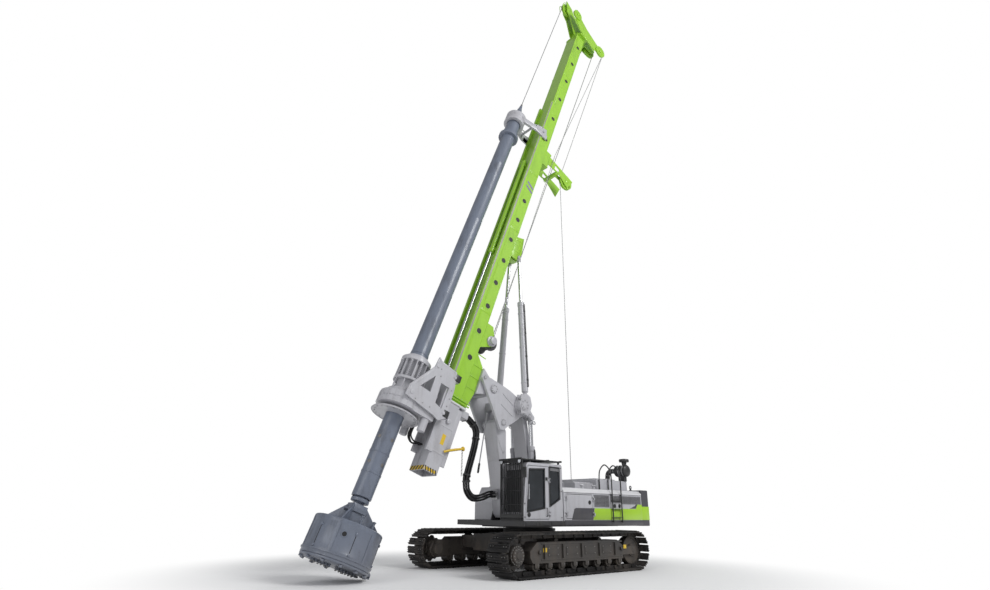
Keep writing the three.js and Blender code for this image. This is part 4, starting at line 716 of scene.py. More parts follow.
hoops.piece("step_hoops", LAMP_BODY, "upper", "frame_paint", 0.0, ["handrails"])
treads.piece("step_treads", WORN, "upper", "frame_paint")

# ------------------------------------------------------------------ air cleaner

cleaner, bands = Shape(), Shape()
ax, az = -3.57, PLINTH_TOP + 0.3403
cleaner.turned([(0.05, 0), (0.15, 0.0), (0.185, 0.012), (0.193, 0.03), (0.193, 0.07), (0.186, 0.08), (0.186, 0.17),
                (0.19, 0.18), (0.19, 0.2),
                (0.186, 0.21), (0.186, 0.37), (0.194, 0.385), (0.194, 0.42), (0.18, 0.44), (0.12, 0.47), (0.06, 0.478)],
               (ax, 0.7, az), (0, 1, 0), 56)
cleaner.turned([(0.078, 0), (0.078, 0.14), (0.085, 0.145), (0.085, 0.17), (0.1, 0.18), (0.165, 0.2), (0.17, 0.22),
                (0.17, 0.26), (0.155, 0.285),
                (0.06, 0.3)], (ax, 1.03, az + 0.1), (0, 0, 1), 44)
elbow = smooth_path([(ax + 0.04, 0.72, az), (ax + 0.04, 0.5, az + 0.01), (ax + 0.04, 0.37, az - 0.04),
                     (ax + 0.04, 0.32, az - 0.16),
                     (ax + 0.04, 0.315, PLINTH_TOP - 0.01)], 30)
cleaner.hose(elbow, 0.083, 28)
cleaner.box(ax - 0.05, ax + 0.09, 0.82, 1.06, PLINTH_TOP, az - 0.12)
for k in range(16):
    a = 2 * math.pi * k / 16
    cleaner.box(ax + 0.15 * math.cos(a) - 0.008, ax + 0.15 * math.cos(a) + 0.008, 1.03 + 0.15 * math.sin(a) - 0.008,
                1.03 + 0.15 * math.sin(a) + 0.008, az + 0.285, az + 0.355)
cleaner.piece("air_filter", LAMP_BODY, "upper", "frame_paint", 0.0, ["air_cleaner"])
for k in (3, 9, 20, 25):
    at, ahead = elbow[k], elbow[k + 1] - elbow[k]
    bands.tube(0.089, 0.08, at, 0.02, ahead, 28, 0.002)
for y in (0.86, 1.02):
    bands.tube(0.197, 0.18, (ax, y, az), 0.03, (0, 1, 0), 48, 0.003)
bands.piece("filter_bands", BOLT, "upper", "frame_paint")

# ------------------------------------------------------------------ cab

seals = Shape()
door_window = [(0.80, DECK + 0.33), (1.51, DECK + 0.22), (1.415, CAB_HIGH - 0.175), (0.79, CAB_HIGH - 0.145)]
quarter = [(0.177, DECK + 0.586), (0.596, DECK + 0.376), (0.596, CAB_HIGH - 0.08), (0.177, CAB_HIGH - 0.09)]


def window_seal(shape, outline, y, out, width=0.028, deep=0.012):
    """A rubber frame round an opening in a side wall."""
    centre = Vector((sum(p[0] for p in outline) / len(outline), sum(p[1] for p in outline) / len(outline)))
    n = len(outline)
    for i in range(n):
        a, b = Vector(outline[i]), Vector(outline[(i + 1) % n])
        inner = [p + (centre - p).normalized() * width * 1.3 for p in (a, b)]
        outer = [p + (p - centre).normalized() * 0.012 for p in (a, b)]
        shape.plate([tuple(outer[0]), tuple(outer[1]), tuple(inner[1]), tuple(inner[0])], *sorted((y, y + out * deep)))


window_seal(seals, door_window, 1.5, 1)
seals.piece("door_window_seal", SEAL, "cab_door", "frame_paint", 0.002)
seals = Shape()
window_seal(seals, quarter, 1.5, 1, 0.022)
seals.plate([(0.615, DECK + 0.36), (0.63, DECK + 0.36), (0.63, CAB_HIGH - 0.085), (0.615, CAB_HIGH - 0.085)], 1.498,
            1.506)
window_seal(seals, [(0.182, DECK + 0.3), (1.29, DECK + 0.3), (1.29, CAB_HIGH - 0.15), (0.182, CAB_HIGH - 0.15)],
            CAB_INNER, -1, 0.03)
seals.piece("cab_seals", SEAL, "upper", "frame_paint", 0.002)
panes = Shape()
panes.plate(quarter, 1.47, 1.478)
panes.plate([(0.182, DECK + 0.3), (1.29, DECK + 0.3), (1.29, CAB_HIGH - 0.15), (0.182, CAB_HIGH - 0.15)],
            CAB_INNER + 0.02, CAB_INNER + 0.028)
panes.box(0.09, 0.098, CAB_INNER + 0.131, CAB_OUTER - 0.131, DECK + 0.957, CAB_HIGH - 0.151)
panes.piece("cab_side_glass", GLASS, "upper", "window_glass")
pillar = Shape()
pillar.plate([(0.19, CAB_HIGH - 0.1), (0.58, CAB_HIGH - 0.1), (0.58, CAB_HIGH - 0.19), (0.19, CAB_HIGH - 0.2)], 1.47,
             1.4995)
pillar.piece("quarter_vent", SHADOW_GREY, "upper", "grey_paint", 0.003)

fittings = Shape()
fittings.turned([(0.062, 0), (0.062, 0.01), (0.052, 0.016), (0.05, 0.006), (0.02, 0.006), (0.018, 0.02),
                 (0.008, 0.022)],
                (1.43, 1.5, DECK + 0.16), (0, 1, 0), 36)
fittings.hose(smooth_path([(0.74, 1.5, DECK + 0.12), (0.74, 1.535, DECK + 0.13), (0.74, 1.54, DECK + 0.24),
                           (0.74, 1.535, DECK + 0.33),
                           (0.74, 1.5, DECK + 0.34)], 16), 0.01, 10)
fittings.box(0.70, 0.76, 1.5, 1.525, CAB_HIGH - 0.47, CAB_HIGH - 0.38)
fittings.piece("door_fittings", LAMP_BODY, "cab_door", "frame_paint", 0.001)

screws = Shape()
screws.bolts([(0.12, 1.5, z) for z in (DECK + 0.09, DECK + 0.8, CAB_HIGH - 0.1)] + [(1.585, 1.5, z)
                                                                                    for z in (DECK + 0.1,
                                                                                              CAB_HIGH - 1.1)],
             (0, 1, 0), 0.014)
screws.piece("cab_bolts", LAMP_BODY, "upper", "frame_paint")

guard = Shape()
for k in range(23):
    y = CAB_INNER + 0.09 + 0.037 * k
    guard.rod((1.655, y, DECK + 0.15), (1.655, y, CAB_HIGH - 0.02), 0.0065, 8)
for z in (DECK + 0.42, DECK + 0.78, DECK + 1.14):
    guard.rod((1.66, CAB_INNER + 0.06, z), (1.66, CAB_OUTER - 0.06, z), 0.009, 8)
guard.box(1.64, 1.675, CAB_INNER + 0.03, CAB_OUTER - 0.03, DECK + 0.08, DECK + 0.13)
for k in range(14):
    guard.box(1.64, 1.685, CAB_INNER + 0.07 + 0.062 * k, CAB_INNER + 0.1 + 0.062 * k, DECK + 0.025, DECK + 0.075)
guard.box(1.625, 1.64, CAB_INNER + 0.02, CAB_OUTER - 0.02, DECK + 0.0, DECK + 0.09)
guard.hose([(1.64, CAB_INNER + 0.2, DECK + 0.2), (1.64, CAB_INNER + 0.45, DECK + 0.75),
            (1.64, CAB_INNER + 0.5, DECK + 0.76)], 0.008, 8)
for k in range(9):
    y = CAB_INNER + 0.06 + 0.102 * k
    guard.rod((0.06, y, CAB_HIGH + 0.098), (1.7, y, CAB_HIGH + 0.098), 0.009, 8)
for x in (0.07, 0.6, 1.15, 1.69):
    guard.box(x - 0.02, x + 0.02, CAB_INNER + 0.01, CAB_OUTER - 0.01, CAB_HIGH + 0.088, CAB_HIGH + 0.112)
for y in (CAB_INNER + 0.1, CAB_OUTER - 0.1):
    guard.turned([(0.02, 0), (0.05, 0.01), (0.062, 0.04), (0.062, 0.07)], (1.62, y, CAB_HIGH + 0.03), (1, 0, 0), 24)
guard.piece("guard_bars", LAMP_BODY, "upper", "frame_paint", 0.0)
lens = Shape()
for y in (CAB_INNER + 0.1, CAB_OUTER - 0.1):
    lens.turned([(0.056, 0), (0.05, 0.008), (0.01, 0.013)], (1.688, y, CAB_HIGH + 0.03), (1, 0, 0), 24)
lens.piece("cab_lamp_lenses", LENS, "upper", "frame_paint")

mirror = Shape()
mirror.hose(smooth_path([(1.6, 1.5, DECK + 0.9), (1.66, 1.56, DECK + 0.95), (1.68, 1.6, DECK + 1.1),
                         (1.68, 1.6, DECK + 1.3)], 14), 0.011, 8)
mirror.box(1.66, 1.7, 1.53, 1.67, DECK + 1.12, DECK + 1.4)
mirror.piece("mirror_shell", LAMP_BODY, "upper", "frame_paint", 0.01)
mirror = Shape().box(1.655, 1.659, 1.54, 1.66, DECK + 1.14, DECK + 1.38)
mirror.piece("mirror_face", MIRROR, "upper", "frame_paint")

low = DECK + 0.0606
seat, cloth_seat = Shape(), Shape()
seat.box(0.2, 1.4, 0.6, 1.435, low, low + 0.02)
seat.box(0.45, 0.82, 0.83, 1.2, low + 0.02, low + 0.2)
for z in (0.08, 0.12, 0.16):
    seat.box(0.43, 0.84, 0.81, 1.22, low + z, low + z + 0.02)
seat.box(1.0, 1.4, 0.592, 0.78, low, low + 0.5).box(1.25, 1.4, 0.68, 1.3, low, low + 0.3)
seat.box(1.28, 1.31, 0.62, 0.86, low + 0.45, low + 0.72)
for y in (0.8, 1.23):
    seat.box(0.42, 0.85, y - 0.035, y + 0.035, low + 0.44, low + 0.49)
    seat.hose(smooth_path([(0.82, y, low + 0.48), (0.84, y, low + 0.56), (0.87, y, low + 0.62)], 8), 0.012, 8)
    seat.turned([(0.012, 0), (0.024, 0.02), (0.027, 0.05), (0.018, 0.08)], (0.87, y, low + 0.61), (0.3, 0, 1), 16)
seat.piece("cab_fittings", LAMP_BODY, "upper", "frame_paint", 0.006, ["cab_interior"])
cloth_seat.box(0.39, 0.88, 0.78, 1.25, low + 0.25, low + 0.375)
cloth_seat.plate([(0.33, low + 0.34), (0.44, low + 0.34), (0.375, low + 0.96), (0.29, low + 0.96)], 0.79, 1.24)
cushion = cloth_seat.piece("seat_cushions", SEAT_CLOTH, "upper", "frame_paint", 0.03)

lamps, lamp_glass = Shape(), Shape()
for y in (-1.05, -0.82):
    lamps.rod((0.62, y, DECK + 0.966), (0.62, y, DECK + 1.06), 0.014, 10)
    lamps.turned([(0.03, 0), (0.06, 0.015), (0.07, 0.05), (0.07, 0.1), (0.064, 0.105)], (0.56, y, DECK + 1.11),
                 (1, 0, -0.15), 28)
    lamp_glass.turned([(0.062, 0), (0.055, 0.01), (0.01, 0.016)], (0.664, y, DECK + 1.094), (1, 0, -0.15), 28)
lamps.box(0.57, 0.67, -1.12, -0.75, DECK + 0.966, DECK + 0.98)
lamps.piece("work_lamps", LAMP_BODY, "upper", "frame_paint", 0.001)
lamp_glass.piece("work_lamp_lenses", LENS, "upper", "frame_paint")

skirt = Shape()
for side in (1, -1):
    for x0, x1 in ((0.1, 0.55), (0.62, 1.05), (1.12, 1.55)):
        skirt.box(x0, x1, *sorted((side * 1.5, side * 1.512)), DECK - 0.12, DECK - 0.02)
        skirt.bolts([(x, side * 1.512, DECK - 0.07) for x in (x0 + 0.04, x1 - 0.04)], (0, side, 0), 0.012)
skirt.piece("deck_edges", DARK, "upper", "frame_paint", 0.004)

# ------------------------------------------------------------------ boom linkage

boom_face = Shape()
for side in (1, -1):
    y0, y1 = sorted((side * 0.29, side * 0.302))
    boom_face.plate([(1.50, 3.76), (1.585, 3.70), (1.33, 3.2), (1.235, 3.27)], y0, y1)
    boom_face.bolts([(x, side * 0.302, z) for x, z in ((1.5, 3.7), (1.53, 3.66), (1.29, 3.28), (1.33, 3.26))],
                    (0, side, 0), 0.014)
    boom_face.turned([(0.15, 0), (0.15, 0.012), (0.14, 0.02)], (BOOM_HEAD[0], side * 0.29, BOOM_HEAD[1]), (0, side, 0),
                     40)
boom_face.plate([(1.452, 3.0), (1.456, 3.0), (1.535, 3.46), (1.531, 3.46)], -0.24, 0.24)
boom_face.piece("boom_plates", GREY, "boom", "grey_paint", 0.002)

caps, cap_bolts = Shape(), Shape()
for (x, z), radius, y, size in ((MAST_PIVOT[::2], 0.125, 0.545, 0.016), (BOOM_HEAD, 0.1, 0.52, 0.014),
                                ((2.263, 5.356), 0.055, 0.52, 0.012),
                                (CROSS_TUBE, 0.155, 0.77, 0.016), (LINK_HEAD, 0.07, 0.53, 0.012)):
    caps.turned([(radius, 0), (radius, 0.014), (radius - 0.01, 0.022), (radius * 0.62, 0.022), (radius * 0.58, 0.03),
                 (0.01, 0.03)],
                (x, y, z), (0, 1, 0), 40)
    cap_bolts.bolt_circle((x, y + 0.022, z), (0, 1, 0), radius * 0.8, 8, size)
caps.rod((CROSS_TUBE[0], 0.52, CROSS_TUBE[1]), (CROSS_TUBE[0], 0.58, CROSS_TUBE[1]), 0.21, 48, 0.012)
caps.turned([(0.05 + 0.016 * math.cos(a), 0.016 * math.sin(a)) for a in [2 * math.pi * k / 10 for k in range(10)]],
            (0.27, 0.56, 4.2), (0, 1, 0.2), 28, closed=True)
for x, z, xx, zz in ((1.1, 4.62, 1.55, 4.95), (1.15, 4.3, 1.62, 4.62)):
    caps.plate([(x, z), (xx, zz), (xx - 0.012, zz + 0.016), (x - 0.012, z + 0.016)], 0.52, 0.535)
caps.mirrored().piece("triangle_caps", GREY, "triangle", "grey_paint", 0.0)
cap_bolts.mirrored().piece("triangle_bolts", BOLT, "triangle", "grey_paint")
tube = Shape().rod((CROSS_TUBE[0], -0.765, CROSS_TUBE[1]), (CROSS_TUBE[0], 0.765, CROSS_TUBE[1]), 0.187, 56, 0.01)
tube.piece("cross_tube", GREY, "triangle", "grey_paint")
stay, knurl = Shape(), Shape()
stay.rod((1.73, 0.0, 4.4), (2.011, 0.0, 2.85), 0.018, 12)
stay.turned([(0.034, 0), (0.034, 0.04), (0.02, 0.05)], (1.73, 0, 4.4), (0.18, 0, -1), 16)
stay.piece("measuring_rod", BARREL, "triangle", "grey_paint")
knurl.turned([(0.02, 0)] + [(0.028 if k % 2 else 0.034, 0.03 + 0.018 * k) for k in range(14)] + [(0.02, 0.29)],
             (2.0, 0, 2.91), (0.18, 0, -1), 20)
knurl.piece("rod_grip", RUBBER, "triangle", "frame_paint")


def cylinder(name, low, high, size, bodies, replaced):
    """A hydraulic cylinder: barrel with its gland and clamps on one body, plated rod on the other."""
    low, high = Vector(low), Vector(high)
    axis = (high - low).normalized()
    outer, rod, barrel, eye, wide, head, head_wide = size
    body = Shape()
    body.turned([(outer * 0.6, eye * 0.8), (outer * 0.62, 0.13), (outer, 0.18), (outer, barrel - 0.16),
                 (outer + 0.012, barrel - 0.15),
                 (outer + 0.012, barrel - 0.02), (outer - 0.01, barrel), (rod + 0.004, barrel + 0.001)], low, axis, 48)
    body.turned([(eye - 0.006, -wide / 2), (eye, -wide / 2 + 0.006), (eye, wide / 2 - 0.006), (eye - 0.006, wide / 2)],
                low, (0, 1, 0), 40)
    for k in range(3):
        at = low + axis * (0.45 + k * (barrel - 0.9) / 2)
        body.tube(outer + 0.01, outer - 0.01, at, 0.05, axis, 40)
    body.piece(name + "_barrel", BARREL, bodies[0], "grey_paint", 0.0, [replaced[0]])
    shaft = Shape()
    shaft.rod(low + axis * (barrel - 0.3), high - axis * head * 0.7, rod, 40)
    shaft.piece(name + "_rod", CHROME, bodies[1], "chrome_rod", 0.0, [replaced[1]])
    end = Shape()
    end.turned([(head - 0.006, -head_wide / 2), (head, -head_wide / 2 + 0.006), (head, head_wide / 2 - 0.006),
                (head - 0.006, head_wide / 2)],
               high, (0, 1, 0), 40)
    end.turned([(rod + 0.002, 0), (rod + 0.018, 0.02), (rod + 0.018, 0.1), (head * 0.8, 0.14)],
               high - axis * (0.14 + head * 0.6), axis, 32)
    end.piece(name + "_eye", BARREL, bodies[1], "grey_paint")
    pipe, side = Shape(), Vector((-0.35, 1 if low.y > 0 else -1, 0)).normalized()
    side = (side - axis * side.dot(axis)).normalized()
    for shift in (-0.024, 0.024):
        off = side * (outer + 0.022) + axis.cross(side) * shift
        pipe.hose(smooth_path([low + axis * 0.32 + side * (outer - 0.01) + axis.cross(side) * shift,
                               low + axis * 0.36 + off, low + axis * 0.5 + off,
                               low + axis * (barrel * 0.6) + off, low + axis * (barrel - 0.2) + off,
                               low + axis * (barrel - 0.1) + side * outer + axis.cross(side) * shift], 20), 0.012, 8)
    for k in range(4):
        at = low + axis * (0.55 + k * (barrel - 0.9) / 3) + side * outer
        pipe.turned([(0.045, 0), (0.045, 0.034), (0.01, 0.036)], at, side, 6)
    pipe.piece(name + "_pipes", DARK, bodies[0], "frame_paint")


for hand, side in (("left", 1), ("right", -1)):
    cylinder(f"luffing_{hand}", (0.2, side * 0.42, 1.7), (0.3, side * 0.42, 4.34),
             (0.095, 0.0655, 1.8, 0.09, 0.1, 0.075, 0.14),
             ("luffing_barrels", "luffing_rods"), (f"luffing_barrel_{hand}", f"luffing_rod_{hand}"))
    head_at = RIG.inverted() @ MAST @ Vector((RAISING_EYE[0], side * RAISING_EYE[1], RAISING_EYE[2]))
    cylinder(f"raising_{hand}", (0.72, side * 0.643, 4.937), head_at, (0.105, 0.0555, 3.3, 0.1, 0.13, 0.065, 0.11),
             ("mast_barrels", f"mast_rod_{hand}"), (f"mast_cylinder_barrel_{hand}", f"mast_cylinder_rod_{hand}"))

# ------------------------------------------------------------------ mast

HOLES = [4.62 + 0.97 * k for k in range(8)] + [15.0 + 1.36 * k for k in range(6)]
ribs, rims = Shape(MAST), Shape(MAST)
for s in HOLES:
    rims.tube(0.122, 0.09, (4.62, 0.349, s), 0.008, (0, 1, 0), 36, 0.002)
for s in (6.3, 9.95, 12.9, 16.6, 19.4):
    ribs.box(4.39, 4.91, 0.349, 0.358, s, s + 0.09)
for s in (3.16, 3.24):
    ribs.box(4.1, 4.97, 0.345, 0.4, s, s + 0.03)
ribs.box(4.394, 4.42, 0.35, 0.356, 3.4, 22.5).box(4.76, 4.83, 0.35, 0.357, 17.2, 22.5)
for s in [3.75 + 0.38 * k for k in range(4)]:
    ribs.box(4.03, 4.4, 0.31, 0.325, s, s + 0.03)
for x0, x1, s in ((4.05, 4.38, 9.3), (4.05, 4.38, 9.55), (4.05, 4.38, 9.78)):
    ribs.box(x0, x1, 0.134, 0.24, s, s + 0.03)
ribs.plate([(4.4, 9.0), (4.4, 9.86), (4.02, 10.03), (3.9, 9.3), (3.89, 9.1), (4.0, 9.02)], 0.2, 0.235)
ribs.mirrored().piece("mast_ribs", GREEN, "mast", "green_paint", 0.003)
rims.mirrored().piece("mast_hole_rims", GREEN, "mast", "green_paint")
# Painted shade: black discs set inside the mast's holes stand in for the shade in the hollow mast behind them.
hole_shade_discs = Shape(MAST)
for s in HOLES:
    hole_shade_discs.turned([(0.0935, 0.0), (0.0935, 0.03)], (4.62, 0.322, s), (0, 1, 0), 36)
hole_shade_discs.mirrored().piece("mast_hole_shade", LAMP_BODY, "mast", "frame_paint")
rail_face = Shape(MAST)
rail_face.box(4.93, 4.985, 0.3895, 0.3925, 3.35, 17.15)
rail_face.mirrored().piece("rail_wear_strips", WORN, "mast", "green_paint")
stripe = Shape(MAST)
for k in range(2):
    s = 11.95 + 0.2 * k
    stripe.plate([(4.4, s), (4.76, s + 0.16), (4.76, s + 0.26), (4.4, s + 0.1)], 0.35, 0.3535)
stripe.mirrored().piece("mast_stripes", VIOLET, "mast", "green_paint")
bolts = Shape(MAST)
for t in [4.15 + 0.14 * k for k in range(6)]:
    bolts.bolt((t, 0.375, 3.27), (0, 0, 1), 0.022)
for s in (5.2, 5.5, 5.8, 6.0):
    bolts.bolt((4.385, 0.3, s), (-1, 0, 0), 0.018)
for s in (13.85, 14.05, 14.25, 14.45):
    for y in (0.1, 0.28):
        bolts.bolt((4.13, y, s), (-1, 0, 0), 0.018)
bolts.mirrored().piece("mast_bolts", BOLT, "mast", "green_paint")
flange = Shape(MAST).box(4.15, 4.905, -0.372, 0.372, 3.06, 3.109)
flange.piece("foot_flange", WHITE, "mast", "grey_paint", 0.004)

lower = Shape(MAST)
for s in (1.55, 2.3):
    lower.box(4.36, 4.85, 0.349, 0.357, s, s + 0.05)
lower.box(4.2, 4.37, 0.25, 0.3, 1.3, 3.0)
lower.mirrored()
lower.turned([(0.03, 0), (0.075, 0.005), (0.075, 0.05), (0.06, 0.06), (0.02, 0.065)], (4.6, 0.35, 2.5), (0, 1, 0), 28)
lower.piece("lower_mast_plates", GREY, "mast", "grey_paint", 0.003)
arm, chain = Shape(MAST), Shape(MAST)
for side in (1, -1):
    arm.hose(smooth_path([(4.43, side * 0.38, 1.67), (4.2, side * 0.41, 1.82), (3.94, side * 0.5, 1.96)], 12), 0.034,
             14)
    arm.turned([(0.05, 0), (0.062, 0.01), (0.062, 0.05), (0.03, 0.06)], (3.94, side * 0.48, 1.96), (-1, 0, 0.6), 20)
arm.piece("limit_arms", YELLOW, "mast", "grey_paint")
drop = (MAST.inverted().to_3x3() @ Vector((0, 0, -1))).normalized()
for k in range(16):
    start = Vector((3.94, 0.5, 1.93)) + drop * (0.045 * k)
    turn = (0, 1, 0) if k % 2 else (1, 0, 0.4)
    chain.turned([(0.02 + 0.006 * math.cos(a), 0.006 * math.sin(a)) for a in [2 * math.pi * j / 6 for j in range(6)]],
                 start, turn, 12, closed=True)
chain.piece("limit_chain", WORN, "mast", "frame_paint")
mark = Shape(MAST).box(4.5, 4.62, 0.35, 0.3525, 1.82, 2.12)
mark.plate([(4.42, 1.02), (4.82, 1.02), (4.82, 1.1), (4.42, 1.1)], 0.35, 0.3525)
mark.piece("lower_mast_marks", YELLOW, "mast", "grey_paint")
bars = Shape(MAST)
for k in range(5):
    t = 4.4 + 0.085 * k
    bars.plate([(t, 1.0), (t + 0.04, 1.0), (t + 0.09, 1.12), (t + 0.05, 1.12)], 0.35, 0.3545)
    bars.plate([(-0.34 + 0.14 * k, 1.0), (-0.28 + 0.14 * k, 1.0), (-0.21 + 0.14 * k, 1.12), (-0.27 + 0.14 * k, 1.12)],
               4.8395, 4.8435, "x")
bars.piece("foot_warning_bars", LAMP_BODY, "mast", "frame_paint")
mark = Shape(MAST).box(4.84, 4.8415, -0.345, 0.345, 1.0, 1.12)
mark.piece("foot_warning_band", YELLOW, "mast", "grey_paint")

ram, shaft = Shape(MAST), Shape(MAST)
ram.turned([(0.05, 0), (0.095, 0.004), (0.1, 0.02), (0.1, 0.16), (0.086, 0.17), (0.086, 4.6), (0.096, 4.61),
            (0.096, 4.74), (0.06, 4.77)],
           (5.0, 0, 8.73), (0, 0, 1), 40)
for s in (8.83, 13.2):
    ram.box(4.903, 5.0, -0.12, 0.12, s, s + 0.1)
    ram.bolts([(5.06, y, s + 0.05) for y in (-0.095, 0.095)], (1, 0, 0), 0.014)
for s in (10.0, 11.3, 12.5):
    ram.tube(0.096, 0.08, (5.0, 0, s), 0.06, (0, 0, 1), 36)
ram.piece("crowd_ram", GREEN, "mast", "green_paint", 0.0, ["crowd_barrel"])
shaft.rod((5.0, 0, 3.97), (5.0, 0, 9.6), 0.0455, 36)
shaft.piece("crowd_shaft", CHROME, "carriage", "chrome_rod", 0.0, ["crowd_rod"])
pipes = Shape(MAST)
for y in (0.14, 0.18, -0.15):
    pipes.hose([(4.93, y, 3.5), (4.925, y, 6.0), (4.925, y, 9.0), (4.925, y, 13.0)], 0.013, 8)
for s in (4.0, 5.5, 7.0, 8.5, 10.0, 11.5, 12.8):
    pipes.box(4.902, 4.945, 0.12, 0.2, s, s + 0.04)
pipes.piece("mast_pipes", GREEN, "mast", "green_paint")

# ------------------------------------------------------------------ mast head and sheaves


def wheel(name, at, radius, y, body, replaced, half=0.05):
    """A rope sheave with a ring of bolts on each face."""
    disc = Shape(MAST)
    rim = [(0.062, -half), (0.13, -half), (0.135, -0.022), (radius - 0.09, -0.018), (radius - 0.07, -half),
           (radius, -half)]
    groove = [(radius - 0.004, -half + 0.008), (radius - 0.045, -0.012), (radius - 0.05, 0), (radius - 0.045, 0.012),
              (radius - 0.004, half - 0.008)]
    profile = rim + groove + [(r, -h) for r, h in reversed(rim)]
    disc.turned(profile, (at[0], y, at[1]), (0, 1, 0), 56, closed=True)
    for side in (1, -1):
        disc.bolt_circle((at[0], y + side * 0.02, at[1]), (0, side, 0), (radius - 0.09 + 0.135) / 2, 8, 0.035)
    disc.piece(name, GREEN, body, "frame_paint", 0.0, [replaced] if replaced else ())


FRONT_RADIUS, REAR_RADIUS = 0.36, 0.33
wheel("front_rope_wheel", SHEAVE_FRONT, FRONT_RADIUS, 0, "front_sheave", "front_sheave")
wheel("rear_rope_wheel", SHEAVE_REAR, REAR_RADIUS, 0, "rear_sheave", "rear_sheave")
wheel("auxiliary_rope_wheel", SHEAVE_AUX, 0.33, 0.285, "auxiliary_sheave", "auxiliary_sheave", 0.045)
wheel("near_front_wheel", NEAR_FRONT, 0.262, 0.49, "mast", None, 0.036)
wheel("near_rear_wheel", NEAR_REAR, 0.302, 0.49, "mast", None, 0.036)
head = Shape(MAST)
for (t, s), side, y in ((SHEAVE_FRONT, 1, 0.15), (SHEAVE_FRONT, -1, -0.15), (SHEAVE_REAR, 1, 0.15),
                        (SHEAVE_REAR, -1, -0.15),
                        (NEAR_FRONT, 1, 0.46), (NEAR_REAR, 1, 0.46)):
    head.turned([(0.11, 0), (0.11, 0.012), (0.07, 0.02), (0.07, 0.035), (0.01, 0.04)], (t, y, s), (0, side, 0), 32)
for t, s in (NEAR_FRONT, NEAR_REAR):
    head.turned([(0.07, 0), (0.07, 0.04), (0.05, 0.05), (0.01, 0.052)], (t, 0.515, s), (0, 1, 0), 28)
for t in (4.3, 4.55, 4.8):
    head.plate([(t, 22.84), (t + 0.02, 22.84), (t + 0.02, 23.3), (t, 23.3)], -0.2, 0.2)
head.box(4.35, 4.75, -0.44, 0.45, 22.842, 22.87)
for s in (22.64, 22.75):
    head.box(4.38, 4.92, -0.37, 0.37, s, s + 0.03)
head.bolts([(t, 0.36, 22.67) for t in (4.45, 4.6, 4.75, 4.88)], (0, 0, 1), 0.018)
for side in (1, -1):
    head.hose(smooth_path([(5.9, side * 0.16, 24.2), (6.06, side * 0.14, 24.12), (6.08, side * 0.1, 23.9),
                           (5.95, side * 0.14, 23.72)], 12), 0.014, 8)
head.piece("head_fittings", GREEN, "mast", "green_paint", 0.003)
posts = Shape(MAST)
posts.rod((5.2, 0.2, 24.0), (5.2, 0.2, 24.3), 0.012, 8).rod((5.2, 0.2, 24.28), (5.3, 0.25, 24.42), 0.02, 10)
posts.rod((4.0, -0.25, 22.84), (4.0, -0.25, 23.4), 0.012, 8)
posts.piece("head_sensors", LAMP_BODY, "mast", "frame_paint")

aux = Shape(MAST)
for s in (13.79, 14.11, 14.49):
    aux.box(4.1, 4.4, -0.34, 0.34, s, s + 0.02)
for t, r in ((3.59, 0.094), (3.62, 0.05)):
    aux.rod((t, -0.33, 13.96), (t, 0.33, 13.96), r, 32)
aux.rod((2.82, 0.2, 13.82), (2.82, 0.37, 13.82), 0.05, 24)
for side in (1, -1):
    aux.turned([(0.09, 0), (0.09, 0.012), (0.05, 0.03), (0.01, 0.034)], (SHEAVE_AUX[0], side * 0.37, SHEAVE_AUX[1]),
               (0, side, 0), 28)
    aux.bolt_circle((3.59, side * 0.37, 13.96), (0, side, 0), 0.07, 6, 0.014)
aux.piece("auxiliary_fittings", GREEN, "mast", "green_paint", 0.003)
drum = Shape(MAST)
drum.turned([(0.06, -0.365), (0.06, -0.29), (0.285, -0.29), (0.285, -0.252), (0.215, -0.25)]
            + [(0.21 + (0.008 if k % 2 else -0.004), -0.24 + 0.012 * k) for k in range(41)]
            + [(0.215, 0.25), (0.285, 0.252), (0.285, 0.29), (0.06, 0.29), (0.06, 0.365)], (WINCH[0], 0, WINCH[1]),
            (0, 1, 0), 56)
for side in (1, -1):
    drum.bolt_circle((WINCH[0], side * 0.29, WINCH[1]), (0, side, 0), 0.2, 12, 0.016)
drum.piece("rope_drum", DARK, "winch_drum", "frame_paint", 0.0, ["winch_drum"])
motor = Shape(MAST)
for side in (1, -1):
    motor.turned([(0.17, 0), (0.17, 0.05), (0.12, 0.06), (0.12, 0.16), (0.1, 0.17)], (WINCH[0], side * 0.34, WINCH[1]),
                 (0, side, 0), 36)
    motor.bolt_circle((WINCH[0], side * 0.39, WINCH[1]), (0, side, 0), 0.148, 10, 0.012)
motor.piece("winch_motors", BARREL, "mast", "grey_paint", 0.0)

# ------------------------------------------------------------------ ropes


def leave(centre, radius, towards, sign):
    """Where a taut rope from a wheel leaves for a point, in the mast's plane."""
    c, p = Vector(centre), Vector(towards)
    d = p - c
    a = math.acos(min(1.0, radius / d.length)) * sign
    u = d.normalized()
    return c + Vector((u.x * math.cos(a) - u.y * math.sin(a), u.x * math.sin(a) + u.y * math.cos(a))) * radius


def arc(centre, radius, start, end, turn, count=14):
    """Points round a wheel from one direction to another."""
    c = Vector(centre)
    a0 = math.atan2(start[1] - c.y, start[0] - c.x)
    a1 = math.atan2(end[1] - c.y, end[0] - c.x)
    while (a1 - a0) * turn < 0:
        a1 += 2 * math.pi * turn
    return [(c.x + radius * math.cos(a0 + (a1 - a0) * k / count), c.y + radius * math.sin(a0 + (a1 - a0) * k / count))
            for k in range(count + 1)]


